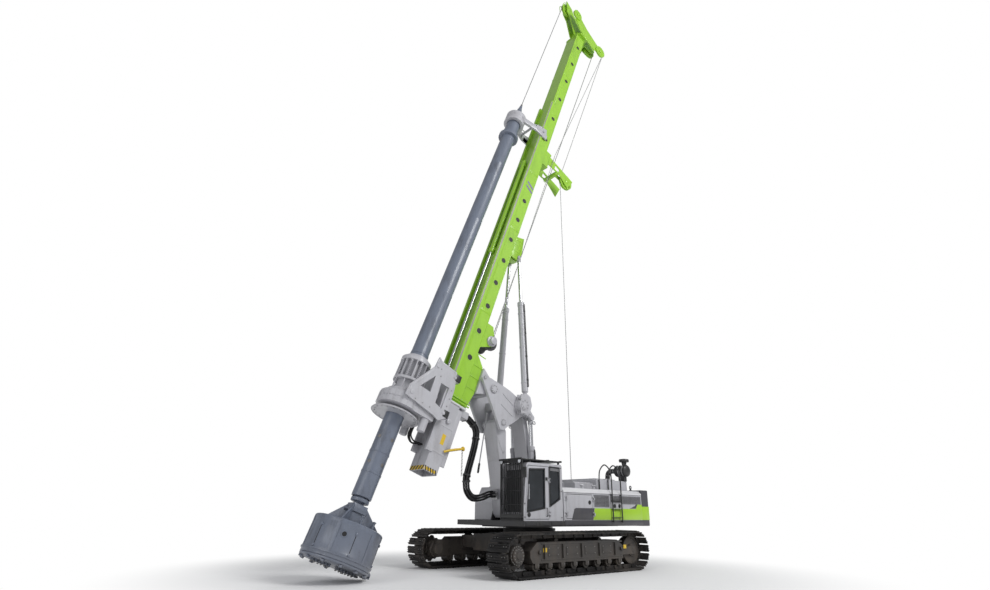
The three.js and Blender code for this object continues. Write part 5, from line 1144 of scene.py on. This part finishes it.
ROPE_RADIUS, THIN_ROPE = 0.014, 0.011
ROPE_SINK = 0.036  # from a wheel's rim down to the rope's middle
rear_r, front_r = REAR_RADIUS - ROPE_SINK, FRONT_RADIUS - ROPE_SINK
off_drum = (WINCH[0] - 0.215, WINCH[1])
up_rear = leave(SHEAVE_REAR, rear_r, off_drum, -1)
d = Vector(SHEAVE_FRONT) - Vector(SHEAVE_REAR)
n = Vector((-d.y, d.x)).normalized()
rear_top, front_top = Vector(SHEAVE_REAR) + n * rear_r, Vector(SHEAVE_FRONT) + n * front_r
down = (SHEAVE_FRONT[0] + front_r, SHEAVE_FRONT[1])
line = [off_drum, *arc(SHEAVE_REAR, rear_r, up_rear, rear_top, -1), *arc(SHEAVE_FRONT, front_r, front_top, down, -1)]
rope = Shape(MAST).hose([(t, 0, s) for t, s in line], ROPE_RADIUS, 10)
rope.piece("main_rope", ROPE, "mast", "frame_paint")
fall = Shape(MAST).hose([(down[0] + (KELLY - down[0]) * k / 12, 0, SHEAVE_FRONT[1] + (16.2 - SHEAVE_FRONT[1]) * k / 12)
                         for k in range(13)], ROPE_RADIUS, 10)
fall_piece = fall.piece("main_rope_fall", ROPE, "mast", "frame_paint", ride=False)
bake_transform(fall_piece)
second = Shape(MAST)
second.hose([(3.26, 0.5, 22.57), (4.0, 0.42, 14.6), (4.02, 0.36, 5.7)], THIN_ROPE, 8)
second.hose([(3.36, 0.285, 13.96), (3.3, 0.3, 16.0), (3.2, 0.45, 22.7)], THIN_ROPE, 8)
second.hose([(t, 0.285, s) for t, s in arc(SHEAVE_AUX, 0.298, (3.03, 14.26), (3.328, 13.96), -1, 8)], THIN_ROPE, 8)
second.piece("second_rope", ROPE, "mast", "frame_paint")
hang = MAST @ Vector((3.352, 0.285, 13.96))
plumb = Shape(Matrix.Identity(4)).hose([hang, (hang.x, hang.y, 10.0), (hang.x, hang.y, 6.0),
                                        (hang.x, hang.y, HOOD_TOP + 0.16)], THIN_ROPE, 8)
plumb.piece("auxiliary_rope", ROPE, "mast", "frame_paint")
hook = Shape(Matrix.Identity(4))
hook.turned([(0.012, 0), (0.04, -0.02), (0.045, -0.06), (0.03, -0.1), (0.012, -0.12)],
            (hang.x, hang.y, HOOD_TOP + 0.16), (0, 0, 1), 20)
hook.piece("rope_weight", WORN, "mast", "frame_paint")

# ------------------------------------------------------------------ carriage and rotary drive

AXIS = (KELLY, 0, 0)
plates, heads = Shape(MAST), Shape(MAST)
for s in (2.43, 3.55):
    plates.box(4.83, 5.02, 0.62, 0.66, s, s + 0.18)
cheek_line = [(6.25, 2.45), (6.24, 2.68), (5.76, 3.5), (5.72, 3.84), (5.62, 3.78), (5.08, 3.73)]
for (a, b), (c, d) in zip(cheek_line, cheek_line[1:]):
    mid = Vector((a, b))
    way = (Vector((c, d)) - mid).normalized()
    side_way = Vector((-way.y, way.x)) * 0.018
    plates.plate([(a - side_way.x, b - side_way.y), (c - side_way.x, d - side_way.y), (c + side_way.x, d + side_way.y),
                  (a + side_way.x, b + side_way.y)],
                 0.66, 0.684)
for t, s, r in ((6.17, 2.56, 0.06), (5.68, 3.62, 0.055), (5.03, 2.5, 0.05), (5.05, 3.6, 0.05)):
    plates.turned([(r, 0), (r, 0.012), (r - 0.01, 0.02), (0.01, 0.02)], (t, 0.68, s), (0, 1, 0), 28)
heads.bolts([(t, 0.68, s) for t, s in ((5.0, 2.72), (5.0, 2.95), (5.02, 3.2), (5.5, 2.45), (5.75, 2.45), (6.0, 2.45),
                                       (5.5, 3.4), (5.56, 3.6))], (0, 1, 0), 0.018)
plates.mirrored().piece("carriage_plates", GREY, "carriage", "grey_paint", 0.003)
heads.mirrored().piece("carriage_bolts", BOLT, "carriage", "grey_paint")
strips = Shape(MAST)
for s in (2.41, 3.53):
    strips.box(4.845, 5.03, 0.645, 0.69, s, s + 0.2)
strips.mirrored().piece("guide_strips", LAMP_BODY, "carriage", "frame_paint", 0.004)

MOTOR, MOTOR_ACROSS = 5.38, 0.45
gear, gear_bolts = Shape(MAST), Shape(MAST)
gear.turned([(0.305, 2.16), (0.58, 2.16), (0.62, 2.18), (0.62, 2.3), (0.605, 2.31), (0.605, 2.35), (0.62, 2.36),
             (0.62, 2.52), (0.6, 2.54),
             (0.48, 2.545), (0.48, 2.65), (0.46, 2.67), (0.305, 2.67)], AXIS, sides=72, closed=True)
gear.plate([(5.2, -0.58), (5.2, 0.58), (5.6, 0.59), (6.04, 0.59), (6.04, -0.59), (5.6, -0.59)], 2.162, 2.538, "z")
for side in (1, -1):
    gear.turned([(0.07, 1.80), (0.105, 1.81), (0.115, 1.83), (0.115, 2.17)], (MOTOR, side * MOTOR_ACROSS, 0), sides=32)
    gear.turned([(0.15, 2.53), (0.15, 2.6), (0.11, 2.61), (0.11, 2.84), (0.12, 2.845), (0.12, 2.88), (0.1, 2.89),
                 (0.1, 3.1), (0.07, 3.15)],
                (MOTOR, side * MOTOR_ACROSS, 0), sides=32)
    gear_bolts.bolt_circle((MOTOR, side * MOTOR_ACROSS, 2.6), (0, 0, 1), 0.13, 8, 0.012)
for k in range(20):
    a = 2 * math.pi * (k + 0.5) / 20
    gear.plate([(KELLY + r * math.cos(a + w), r * math.sin(a + w)) for r,
                w in ((0.6, -0.012), (0.632, -0.012), (0.632, 0.012), (0.6, 0.012))],
               2.18, 2.52, "z")
gear_bolts.bolt_circle((KELLY, 0, 2.54), (0, 0, 1), 0.555, 32, 0.018)
gear_bolts.bolt_circle((KELLY, 0, 2.66), (0, 0, 1), 0.42, 24, 0.013)
gear.piece("drive_gearbox", GREY, "carriage", "grey_paint", 0.0, ["rotary_gearbox"])
gear_bolts.piece("gearbox_bolts", BOLT, "carriage", "grey_paint")

sleeve, springs, studs = Shape(MAST), Shape(MAST), Shape(MAST)
sleeve.turned([(0.262, 2.0), (0.645, 2.0), (0.655, 2.01), (0.655, 2.03), (0.62, 2.05), (0.5, 2.09), (0.3, 2.1),
               (0.3, 2.97), (0.43, 2.97), (0.44, 2.98),
               (0.44, 3.04), (0.43, 3.05), (0.3, 3.05), (0.3, 3.57), (0.43, 3.58), (0.44, 3.59), (0.44, 3.69),
               (0.43, 3.7), (0.262, 3.7)],
              AXIS, sides=72, closed=True)
for k in range(8):
    a = 2 * math.pi * k / 8
    at = (KELLY + 0.395 * math.cos(a), 0.395 * math.sin(a))
    sleeve.turned([(0.03, 3.04), (0.03, 3.59)], (*at, 0), sides=16)
    sleeve.turned([(0.02, 2.66), (0.02, 2.98)], (*at, 0), sides=12)
    coil = [(at[0] + 0.047 * math.cos(b), at[1] + 0.047 * math.sin(b), 3.06 + 0.5 * b / (2 * math.pi * 9)) for b in
            [2 * math.pi * j / 14 for j in range(14 * 9 + 1)]]
    springs.hose(coil, 0.009, 8)
    half = a + math.pi / 8
    sleeve.plate([(KELLY + r * math.cos(half + w), r * math.sin(half + w)) for r,
                  w in ((0.3, -0.05), (0.43, -0.035), (0.43, 0.035), (0.3, 0.05))],
                 3.05, 3.58, "z")
    studs.bolt((KELLY + 0.395 * math.cos(a), 0.395 * math.sin(a), 3.7), (0, 0, 1), 0.022)
    studs.bolt((KELLY + 0.37 * math.cos(half), 0.37 * math.sin(half), 3.7), (0, 0, 1), 0.016)
sleeve.turned([(0.255, 3.7), (0.36, 3.7), (0.36, 3.73), (0.33, 3.75), (0.33, 3.79), (0.262, 3.8)], AXIS, sides=56,
              closed=True)
studs.bolt_circle((KELLY, 0, 2.0), (0, 0, -1), 0.58, 20, 0.016)
sleeve.piece("cage_sleeve", GREY, "drive_sleeve", "grey_paint", 0.0, ["drive_sleeve"])
springs.piece("damper_springs", BARREL, "drive_sleeve", "grey_paint")
studs.piece("cage_studs", BOLT, "drive_sleeve", "grey_paint")
apron = Shape(MAST)
apron.turned([(0.655, 2.0), (0.675, 1.985), (0.682, 1.99), (0.66, 2.012)], AXIS, sides=72, closed=True)
apron.piece("slag_disc_rim", GREY, "drive_sleeve", "grey_paint")

# ------------------------------------------------------------------ kelly bar

guide = Shape(MAST)
guide.turned([(0.272, 14.64), (0.39, 14.64), (0.4, 14.65), (0.4, 14.74), (0.375, 14.76), (0.375, 14.9), (0.4, 14.92),
              (0.4, 15.09), (0.39, 15.1),
              (0.272, 15.1)], AXIS, sides=64, closed=True)
arm_line = [(5.98, 0.18), (5.98, 0.29), (5.27, 0.4505), (4.66, 0.4505), (4.66, 0.391), (5.2, 0.391), (5.6, 0.26)]
for side in (1, -1):
    guide.plate([(t, side * v) for t, v in arm_line], 14.87, 15.09, "z")
    guide.plate([(4.66, 14.87), (4.78, 15.36), (5.27, 15.19), (5.27, 14.87)], *sorted((side * 0.391, side * 0.45)))
    guide.plate([(5.98, 15.12), (5.27, 15.24), (5.27, 15.2), (5.98, 15.09)], *sorted((side * 0.25, side * 0.275)))
    guide.rod((5.9, side * 0.2, 15.05), (5.0, side * 0.47, 15.27), 0.016, 10)
    guide.box(4.81, 4.839, *sorted((side * 0.351, side * 0.4)), 14.97, 15.19)
guide.box(5.33, 5.38, -0.39, 0.39, 14.97, 15.11)
for side in (1, -1):
    guide.turned([(0.045, 0), (0.045, 0.03), (0.03, 0.04)], (4.9, side * 0.45, 15.12), (0, side, 0), 24)
    guide.turned([(0.03, 0), (0.03, 0.03), (0.02, 0.04)], (5.2, side * 0.45, 15.02), (0, side, 0), 24)
guide.piece("guide_frame", GREY, "kelly_guide", "grey_paint", 0.004, ["kelly_guide"])
studs = Shape(MAST)
studs.bolt_circle((KELLY, 0, 15.1), (0, 0, 1), 0.335, 16, 0.018)
studs.piece("guide_bolts", BOLT, "kelly_guide", "grey_paint")

outer = Shape(MAST)
profile = [(0.22, -0.25), (0.25, -0.25), (0.26, -0.24)]
for s in (2.95, 6.1, 9.3, 12.2):
    profile += [(0.26, s), (0.263, s + 0.012), (0.263, s + 0.03), (0.26, s + 0.042)]
profile += [(0.26, 13.62), (0.272, 13.63), (0.272, 13.78), (0.37, 13.79), (0.38, 13.8), (0.38, 13.9), (0.37, 13.91),
            (0.3, 13.93), (0.29, 14.0),
            (0.28, 14.2), (0.26, 14.22), (0.26, 15.1), (0.32, 15.105), (0.33, 15.115), (0.33, 15.18), (0.32, 15.19),
            (0.22, 15.19)]
outer.turned(profile, AXIS, sides=72, closed=True)
for a in (math.radians(35), math.radians(155), math.radians(275)):
    outer.plate([(KELLY + r * math.cos(a + w), r * math.sin(a + w)) for r,
                 w in ((0.255, -0.11), (0.2605, -0.11), (0.2605, 0.11), (0.255, 0.11))],
                0.1, 13.6, "z")
for s in (0.35, 0.9, 2.2, 3.9):
    outer.tube(0.27, 0.25, (KELLY, 0, s), 0.05, (0, 0, 1), 64)
outer.piece("kelly_tube", SLATE, "kelly_outer", "kelly_steel", 0.0, ["kelly_outer"])
pads = Shape(MAST)
for s in (0.62, 1.3):
    for a in (0.4, 1.9, 3.5, 5.0):
        way = Vector((math.cos(a), math.sin(a), 0))
        pads.turned([(0.05, 0), (0.05, 0.008), (0.02, 0.012)], Vector((KELLY, 0, s)) + way * 0.258, way, 20)
pads.bolt_circle((KELLY, 0, 13.91), (0, 0, 1), 0.335, 16, 0.02)
pads.piece("kelly_pads", WORN, "kelly_outer", "kelly_steel")

core = Shape(MAST)
core.turned([(0.02, -0.37), (0.21, -0.37), (0.235, -0.36), (0.235, -0.29), (0.225, -0.28), (0.175, -0.275),
             (0.175, 15.22), (0.165, 15.32), (0.08, 15.325),
             (0.075, 15.5), (0.095, 15.51), (0.095, 15.62), (0.075, 15.63), (0.075, 15.7), (0.06, 15.71), (0.06, 15.8),
             (0.045, 15.88), (0.02, 15.9)],
            AXIS, sides=48)
core.plate([(KELLY - 0.1, -0.1), (KELLY + 0.1, -0.1), (KELLY + 0.1, 0.1), (KELLY - 0.1, 0.1)], -0.76, -0.34, "z")
for k in range(3):
    a = 2 * math.pi * k / 3
    core.plate([(KELLY + r * math.cos(a + w), r * math.sin(a + w)) for r,
                w in ((0.17, -0.12), (0.195, -0.1), (0.195, 0.1), (0.17, 0.12))], -0.28, 15.2, "z")
core.piece("kelly_core", SLATE, "kelly_inner", "kelly_steel", 0.003, ["kelly_inner"])
socket_rope = Shape(MAST).hose([(KELLY, 0, 15.86), (KELLY, 0, 16.05), (KELLY, 0, 16.25)], ROPE_RADIUS, 10)
socket_rope.turned([(0.02, 15.84), (0.04, 15.86), (0.04, 15.95), (0.02, 16.02)], AXIS, sides=20)
socket_rope.piece("rope_socket", WORN, "kelly_inner", "kelly_steel")

# ------------------------------------------------------------------ bucket

BUCKET = 6.05
drum, fits = Shape(MAST), Shape(MAST)
B = (BUCKET, 0, 0)
drum.turned([(0.81, -1.78), (0.835, -1.78), (0.85, -1.77), (0.85, -1.72), (0.855, -1.71), (0.855, -1.62), (0.85, -1.61),
             (0.85, -1.06),
             (0.856, -1.05), (0.856, -0.955), (0.84, -0.932), (0.3, -0.93), (0.3, -0.98), (0.81, -0.98)], B, sides=80,
            closed=True)
drum.box(KELLY - 0.19, KELLY + 0.19, -0.19, -0.1005, -0.935, -0.43).box(KELLY - 0.19, KELLY + 0.19, 0.1005, 0.19,
                                                                        -0.935, -0.43)
drum.box(KELLY - 0.19, KELLY - 0.1005, -0.12, 0.12, -0.935, -0.43).box(KELLY + 0.1005, KELLY + 0.19, -0.12, 0.12,
                                                                       -0.935, -0.43)
drum.box(KELLY - 0.23, KELLY + 0.23, -0.23, -0.189, -0.62, -0.55).box(KELLY - 0.23, KELLY + 0.23, 0.189, 0.23, -0.62,
                                                                      -0.55)
drum.box(KELLY - 0.23, KELLY - 0.189, -0.23, 0.23, -0.62, -0.55).box(KELLY + 0.189, KELLY + 0.23, -0.23, 0.23, -0.62,
                                                                     -0.55)
for k in range(4):
    a = math.pi / 2 * k + math.pi / 4
    cross = Vector((-math.sin(a), math.cos(a), 0)) * 0.018
    way = Vector((math.cos(a), math.sin(a), 0))
    corner = [Vector((KELLY, 0, 0)) + way * r + Vector((0, 0, z)) for r,
              z in ((0.24, -0.48), (0.27, -0.48), (0.72, -0.9), (0.72, -0.935), (0.24, -0.935))]
    drum.solid([tuple(p + cross) for p in corner] + [tuple(p - cross) for p in corner],
               [tuple(range(5)), tuple(range(9, 4, -1))] + [(i, (i + 1) % 5, 5 + (i + 1) % 5, 5 + i) for i in range(5)])
for side in (1, -1):
    drum.plate([(5.115, -1.855), (5.205, -1.855), (5.205, -1.775), (5.26, -1.775), (5.26, -1.62), (5.115, -1.755)],
               *sorted((side * 0.125, side * 0.165)))
drum.rod((5.16, -0.165, -1.815), (5.16, 0.165, -1.815), 0.022, 20)
drum.piece("bucket_drum", SLATE, "kelly_inner", "kelly_steel", 0.003, ["bucket"])


def on_wall(angle, s, reach=0.85):
    """A point round the bucket's wall."""
    return Vector((BUCKET + reach * math.cos(angle), reach * math.sin(angle), s))


def patch(shape, angle, half, s0, s1, reach, thick):
    """A plate bent to the bucket's wall."""
    rings = []
    for k in range(9):
        a = angle - half + 2 * half * k / 8
        rings.append([on_wall(a, s, r) for r, s in ((reach, s0), (reach + thick, s0), (reach + thick, s1),
                                                    (reach, s1))])
    shape.sweep(rings)


# Painted shade: black strips on the wall and black discs inside the rims stand in for the shade in the bucket's slots
# and holes.
slots = Shape(MAST)
for k in range(6):
    a = math.radians(20 + 60 * k)
    patch(slots, a, 0.009, -1.58, -1.2, 0.8485, 0.004)
    patch(fits, a + 0.5, 0.05, -1.7, -1.0, 0.849, 0.012)
    way = Vector((math.cos(a), math.sin(a), 0))
    for s in (-1.16, -1.62):
        fits.turned([(0.03, 0), (0.03, 0.03), (0.02, 0.035)], on_wall(a, s, 0.848), way, 16)
for x, y in ((5.6, 0.35), (6.45, -0.35), (6.5, 0.42)):
    slots.turned([(0.055, 0), (0.055, 0.003)], (x, y, -0.9305), (0, 0, 1), 28)
    fits.tube(0.075, 0.054, (x, y, -0.931), 0.02, (0, 0, 1), 32, 0.003)
outward = Vector((math.cos(math.radians(62)), math.sin(math.radians(62)), 0))
vent = on_wall(math.radians(62), -1.24, 0.848)
slots.turned([(0.055, 0), (0.055, 0.005)], vent, outward, 28)
fits.tube(0.075, 0.054, vent, 0.012, outward, 32, 0.003)
for x, y in ((5.7, 0.5), (6.1, 0.62)):
    fits.rod((x, y, -0.93), (x, y, -0.72), 0.03, 20, 0.004)
    fits.turned([(0.045, 0), (0.045, 0.02), (0.03, 0.03)], (x, y, -0.74), (0, 0, 1), 20)
fits.turned([(0.86, -1.695), (0.873, -1.69), (0.873, -1.66), (0.86, -1.655)], B, sides=80, closed=True)
fits.bolts([(5.66, 0.0, -0.93), (6.42, 0.0, -0.93), (KELLY, 0.45, -0.93), (KELLY, -0.45, -0.93)], (0, 0, 1), 0.028)
fits.rod((KELLY - 0.24, 0, -0.7), (KELLY + 0.24, 0, -0.7), 0.035, 20, 0.006)
fits.piece("bucket_fittings", SLATE, "kelly_inner", "kelly_steel", 0.0)
slots.piece("bucket_slot_shade", LAMP_BODY, "kelly_inner", "kelly_steel")

gate, teeth = Shape(MAST), Shape(MAST)
gate.turned([(0.02, -1.85), (0.6, -1.85), (0.82, -1.84), (0.845, -1.82), (0.845, -1.79), (0.835, -1.782),
             (0.02, -1.782)], B, sides=80)
gate.turned([(0.039, -0.12), (0.045, -0.114), (0.045, 0.114), (0.039, 0.12)], (5.16, 0, -1.815), (0, 1, 0), 28)
gate.box(5.16, 5.3, -0.12, 0.12, -1.845, -1.781)
for side in (1, -1):
    for k in range(6):
        d = 0.12 + 0.09 * k
        x = BUCKET + side * d
        gate.box(x - 0.03, x + 0.03, -0.06, 0.06, -1.9, -1.84)
        y = 0.02 * side
        teeth.solid([(x - 0.022, -0.03 + y, -1.9), (x + 0.022, -0.03 + y, -1.9), (x + 0.022, 0.04 + y, -1.9),
                     (x - 0.022, 0.04 + y, -1.9),
                     (x - 0.008, -0.05 + y, -1.93), (x + 0.008, -0.05 + y, -1.93), (x + 0.008, -0.03 + y, -1.93),
                     (x - 0.008, -0.03 + y, -1.93)],
                    [(0, 1, 2, 3), (7, 6, 5, 4), (0, 4, 5, 1), (1, 5, 6, 2), (2, 6, 7, 3), (3, 7, 4, 0)])
for k in range(12):
    a = 2 * math.pi * (k + 0.5) / 12
    way = Vector((math.cos(a), math.sin(a), 0))
    base = Vector(B) + way * 0.8
    cross = Vector((-way.y, way.x, 0)) * 0.035
    gate.solid([tuple(base + way * u + cross * v + Vector((0, 0, w))) for v in (1, -1) for u,
                w in ((-0.05, -1.845), (0.04, -1.845), (0.04, -1.885), (-0.03, -1.895))],
               [(0, 1, 2, 3), (7, 6, 5, 4), (0, 4, 5, 1), (1, 5, 6, 2), (2, 6, 7, 3), (3, 7, 4, 0)])
gate.piece("gate_disc", SLATE, "bucket_gate", "kelly_steel", 0.002, ["bucket_gate"])
teeth.piece("gate_teeth", WORN, "bucket_gate", "kelly_steel")

# ------------------------------------------------------------------ hoses


def machine(point_on_mast):
    """A point of the mast in the rig's own metres."""
    return RIG.inverted() @ MAST @ Vector(point_on_mast)


BUNDLE = [(0.0, 0.0)] + level_ring(6, 0.078)
HOSE_RADIUS = 0.025
start, second_point = machine((3.8997, 0.06, 3.005)), machine((3.76, 0.06, 3.005))
MEET = Vector((2.59, 0.15, 2.38))
upper_line = [start, second_point, (2.24, 0.085, 3.85), (2.28, 0.12, 3.44), (2.52, 0.145, 2.70), (2.59, 0.15, 2.48),
              MEET]
lower_line = [MEET - Vector((0, 0, 0.001)), (2.59, 0.15, 2.28), (2.54, 0.145, 2.10), (2.33, 0.12, 1.94),
              (1.97, 0.06, 1.95), (1.62, 0, 2.05), (1.4003, 0, 2.05)]


def bundle_paths(line, count):
    """Paths of the hoses side by side along a line, in the rig's own metres."""
    path = smooth_path(line, count)
    side = (path[1] - path[0]).orthogonal().normalized()
    frames = []
    for i, p in enumerate(path):
        ahead = (path[min(i + 1, count)] - path[max(i - 1, 0)]).normalized()
        side = (side - ahead * side.dot(ahead)).normalized()
        frames.append((p, side, ahead.cross(side)))
    return [[p + s * a + u * b for p, s, u in frames] for a, b in BUNDLE]


def free_hose(name, path, radius, bodies, node):
    """One hose between two bodies, a tube along its own path."""
    piece = Shape().hose(path, radius, 12).piece(name, RUBBER, bodies[0], "hose_rubber", 0.0, [node], ride=False)
    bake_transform(piece)
    return piece


for k, path in enumerate(bundle_paths(upper_line, 36)):
    free_hose(f"upper_hose_{k}", path, HOSE_RADIUS, ("triangle", "mast"), "hose_bundle_upper")
for k, path in enumerate(bundle_paths(lower_line, 36)):
    free_hose(f"lower_hose_{k}", path, HOSE_RADIUS, ("boom", "triangle"), "hose_bundle_lower")
for line, ks, body in ((upper_line, (9, 16), "mast"), (upper_line, (27, 35), "triangle")):
    path = smooth_path(line, 36)
    bands = Shape()
    for k in ks:
        bands.tube(0.118, 0.095, path[k], 0.05, path[min(k + 1, 36)] - path[k - 1], 20, 0.006)
    bands.piece(f"hose_bands_{body}", LAMP_BODY, body, "frame_paint")
port = Shape()
port.box(1.37, 1.41, -0.14, 0.14, 1.91, 2.19)
for a, b in BUNDLE:
    port.turned([(0.036, 0), (0.036, 0.05), (0.03, 0.06), (0.03, 0.09)], (1.4, a, 2.05 + b), (1, 0, 0), 6)
port.piece("boom_port", BOLT, "boom", "grey_paint", 0.002)
hose_end = Shape(MAST)
hose_end.box(3.888, 3.9, -0.06, 0.18, 2.88, 3.1)
hose_end.piece("hose_plate", WORN, "mast", "grey_paint", 0.002)
for k, (y, dip) in enumerate(((-0.3, 0.0), (-0.225, 0.03), (-0.15, -0.02))):
    line = [(4.8403, y, 1.73), (4.94, y, 1.73), (5.14, y, 1.69 - dip), (5.29, y, 1.82), (5.29, y, 2.06),
            (5.29, y, 2.1597)]
    path = [machine(p) for p in smooth_path(line, 26)]
    free_hose(f"drive_hose_{k}", path, 0.022, ("mast", "carriage"), "drive_hoses")

# ------------------------------------------------------------------ stage

scene = bpy.context.scene
FADE = (5.5, 10.5)  # how far out the floor turns white
floor_mesh = bpy.data.meshes.new("floor")
floor_mesh.from_pydata([(-400, -400, 0), (400, -400, 0), (400, 400, 0), (-400, 400, 0)], [], [(0, 1, 2, 3)])
floor = bpy.data.objects.new("floor", floor_mesh)
floor.location.z = -0.001
scene.collection.objects.link(floor)
f = Finish("pale_floor")
away = f.node("VectorMath", {"operation": "LENGTH"}, f.place, out=1)
shown = (f.node("LightPath", out="Is Camera Ray") + f.node("LightPath", out="Is Glossy Ray")
         + f.node("LightPath", out="Is Transmission Ray"))
white = f.node("Emission", None, (1, 1, 1, 1), 1.0)
f.surface(Base_Color=(0.9, 0.9, 0.9, 1), Roughness=0.9, Specular_IOR_Level=0.0)
cover = f.node("MixShader", None, away.band(*FADE) * shown.maths("MINIMUM", shown, 1.0), Flow(f, f.shader.outputs[0]),
               white)
f.tree.links.new(cover.socket, f.tree.nodes["Material Output"].inputs["Surface"])
floor_mesh.materials.append(f.material)

world = bpy.data.worlds.new("studio")
scene.world = world
world.use_nodes = True
nodes, links = world.node_tree.nodes, world.node_tree.links
back = nodes["Background"]
back.inputs["Color"].default_value = (0.95, 0.96, 1.0, 1)
back.inputs["Strength"].default_value = 0.36
white_back = nodes.new("ShaderNodeBackground")
mixed = nodes.new("ShaderNodeMixShader")
path_node = nodes.new("ShaderNodeLightPath")
both = nodes.new("ShaderNodeMath")
both.operation = "ADD"
both.use_clamp = True
links.new(path_node.outputs["Is Camera Ray"], both.inputs[0])
links.new(path_node.outputs["Is Transmission Ray"], both.inputs[1])
links.new(both.outputs[0], mixed.inputs[0])
links.new(back.outputs[0], mixed.inputs[1])
links.new(white_back.outputs[0], mixed.inputs[2])
white_back.inputs["Strength"].default_value = 1.0
white_back.inputs["Color"].default_value = (1, 1, 1, 1)
links.new(mixed.outputs[0], nodes["World Output"].inputs["Surface"])


def lamp(name, at, aim, size, power):
    """A square soft light."""
    light = bpy.data.lights.new(name, "AREA")
    light.size, light.energy = size, power
    obj = bpy.data.objects.new(name, light)
    scene.collection.objects.link(obj)
    obj.location = at
    obj.rotation_euler = (Vector(aim) - Vector(at)).to_track_quat("-Z", "Y").to_euler()


lamp("key", (-8, 30, 26), (0, 0, 8), 16, 7500)
lamp("fill", (30, 8, 14), (0, 0, 8), 18, 1900)
lamp("back", (-26, -18, 22), (0, 0, 8), 18, 2200)

CAMERA_AT = (12.766, 13.355, 1.545)
YAW, PITCH_UP, ROLL = math.radians(-130.227), math.radians(21.38), math.radians(0.642)
look = Vector((math.cos(YAW) * math.cos(PITCH_UP), math.sin(YAW) * math.cos(PITCH_UP), math.sin(PITCH_UP)))
right = look.cross(Vector((0, 0, 1))).normalized()
up = right.cross(look)
turned_right = right * math.cos(ROLL) + up * math.sin(ROLL)
turned_up = up * math.cos(ROLL) - right * math.sin(ROLL)
camera = bpy.data.cameras.new("camera")
camera.sensor_width, camera.lens = 36.0, 20.224
camera.clip_end = 2000
camera_object = bpy.data.objects.new("camera", camera)
scene.collection.objects.link(camera_object)
turn = Matrix((turned_right, turned_up, -look)).transposed().to_4x4()
camera_object.matrix_world = Matrix.Translation(RIG @ Vector(CAMERA_AT)) @ turn
scene.camera = camera_object
scene.view_settings.view_transform = "Standard"

bpy.context.view_layer.update()
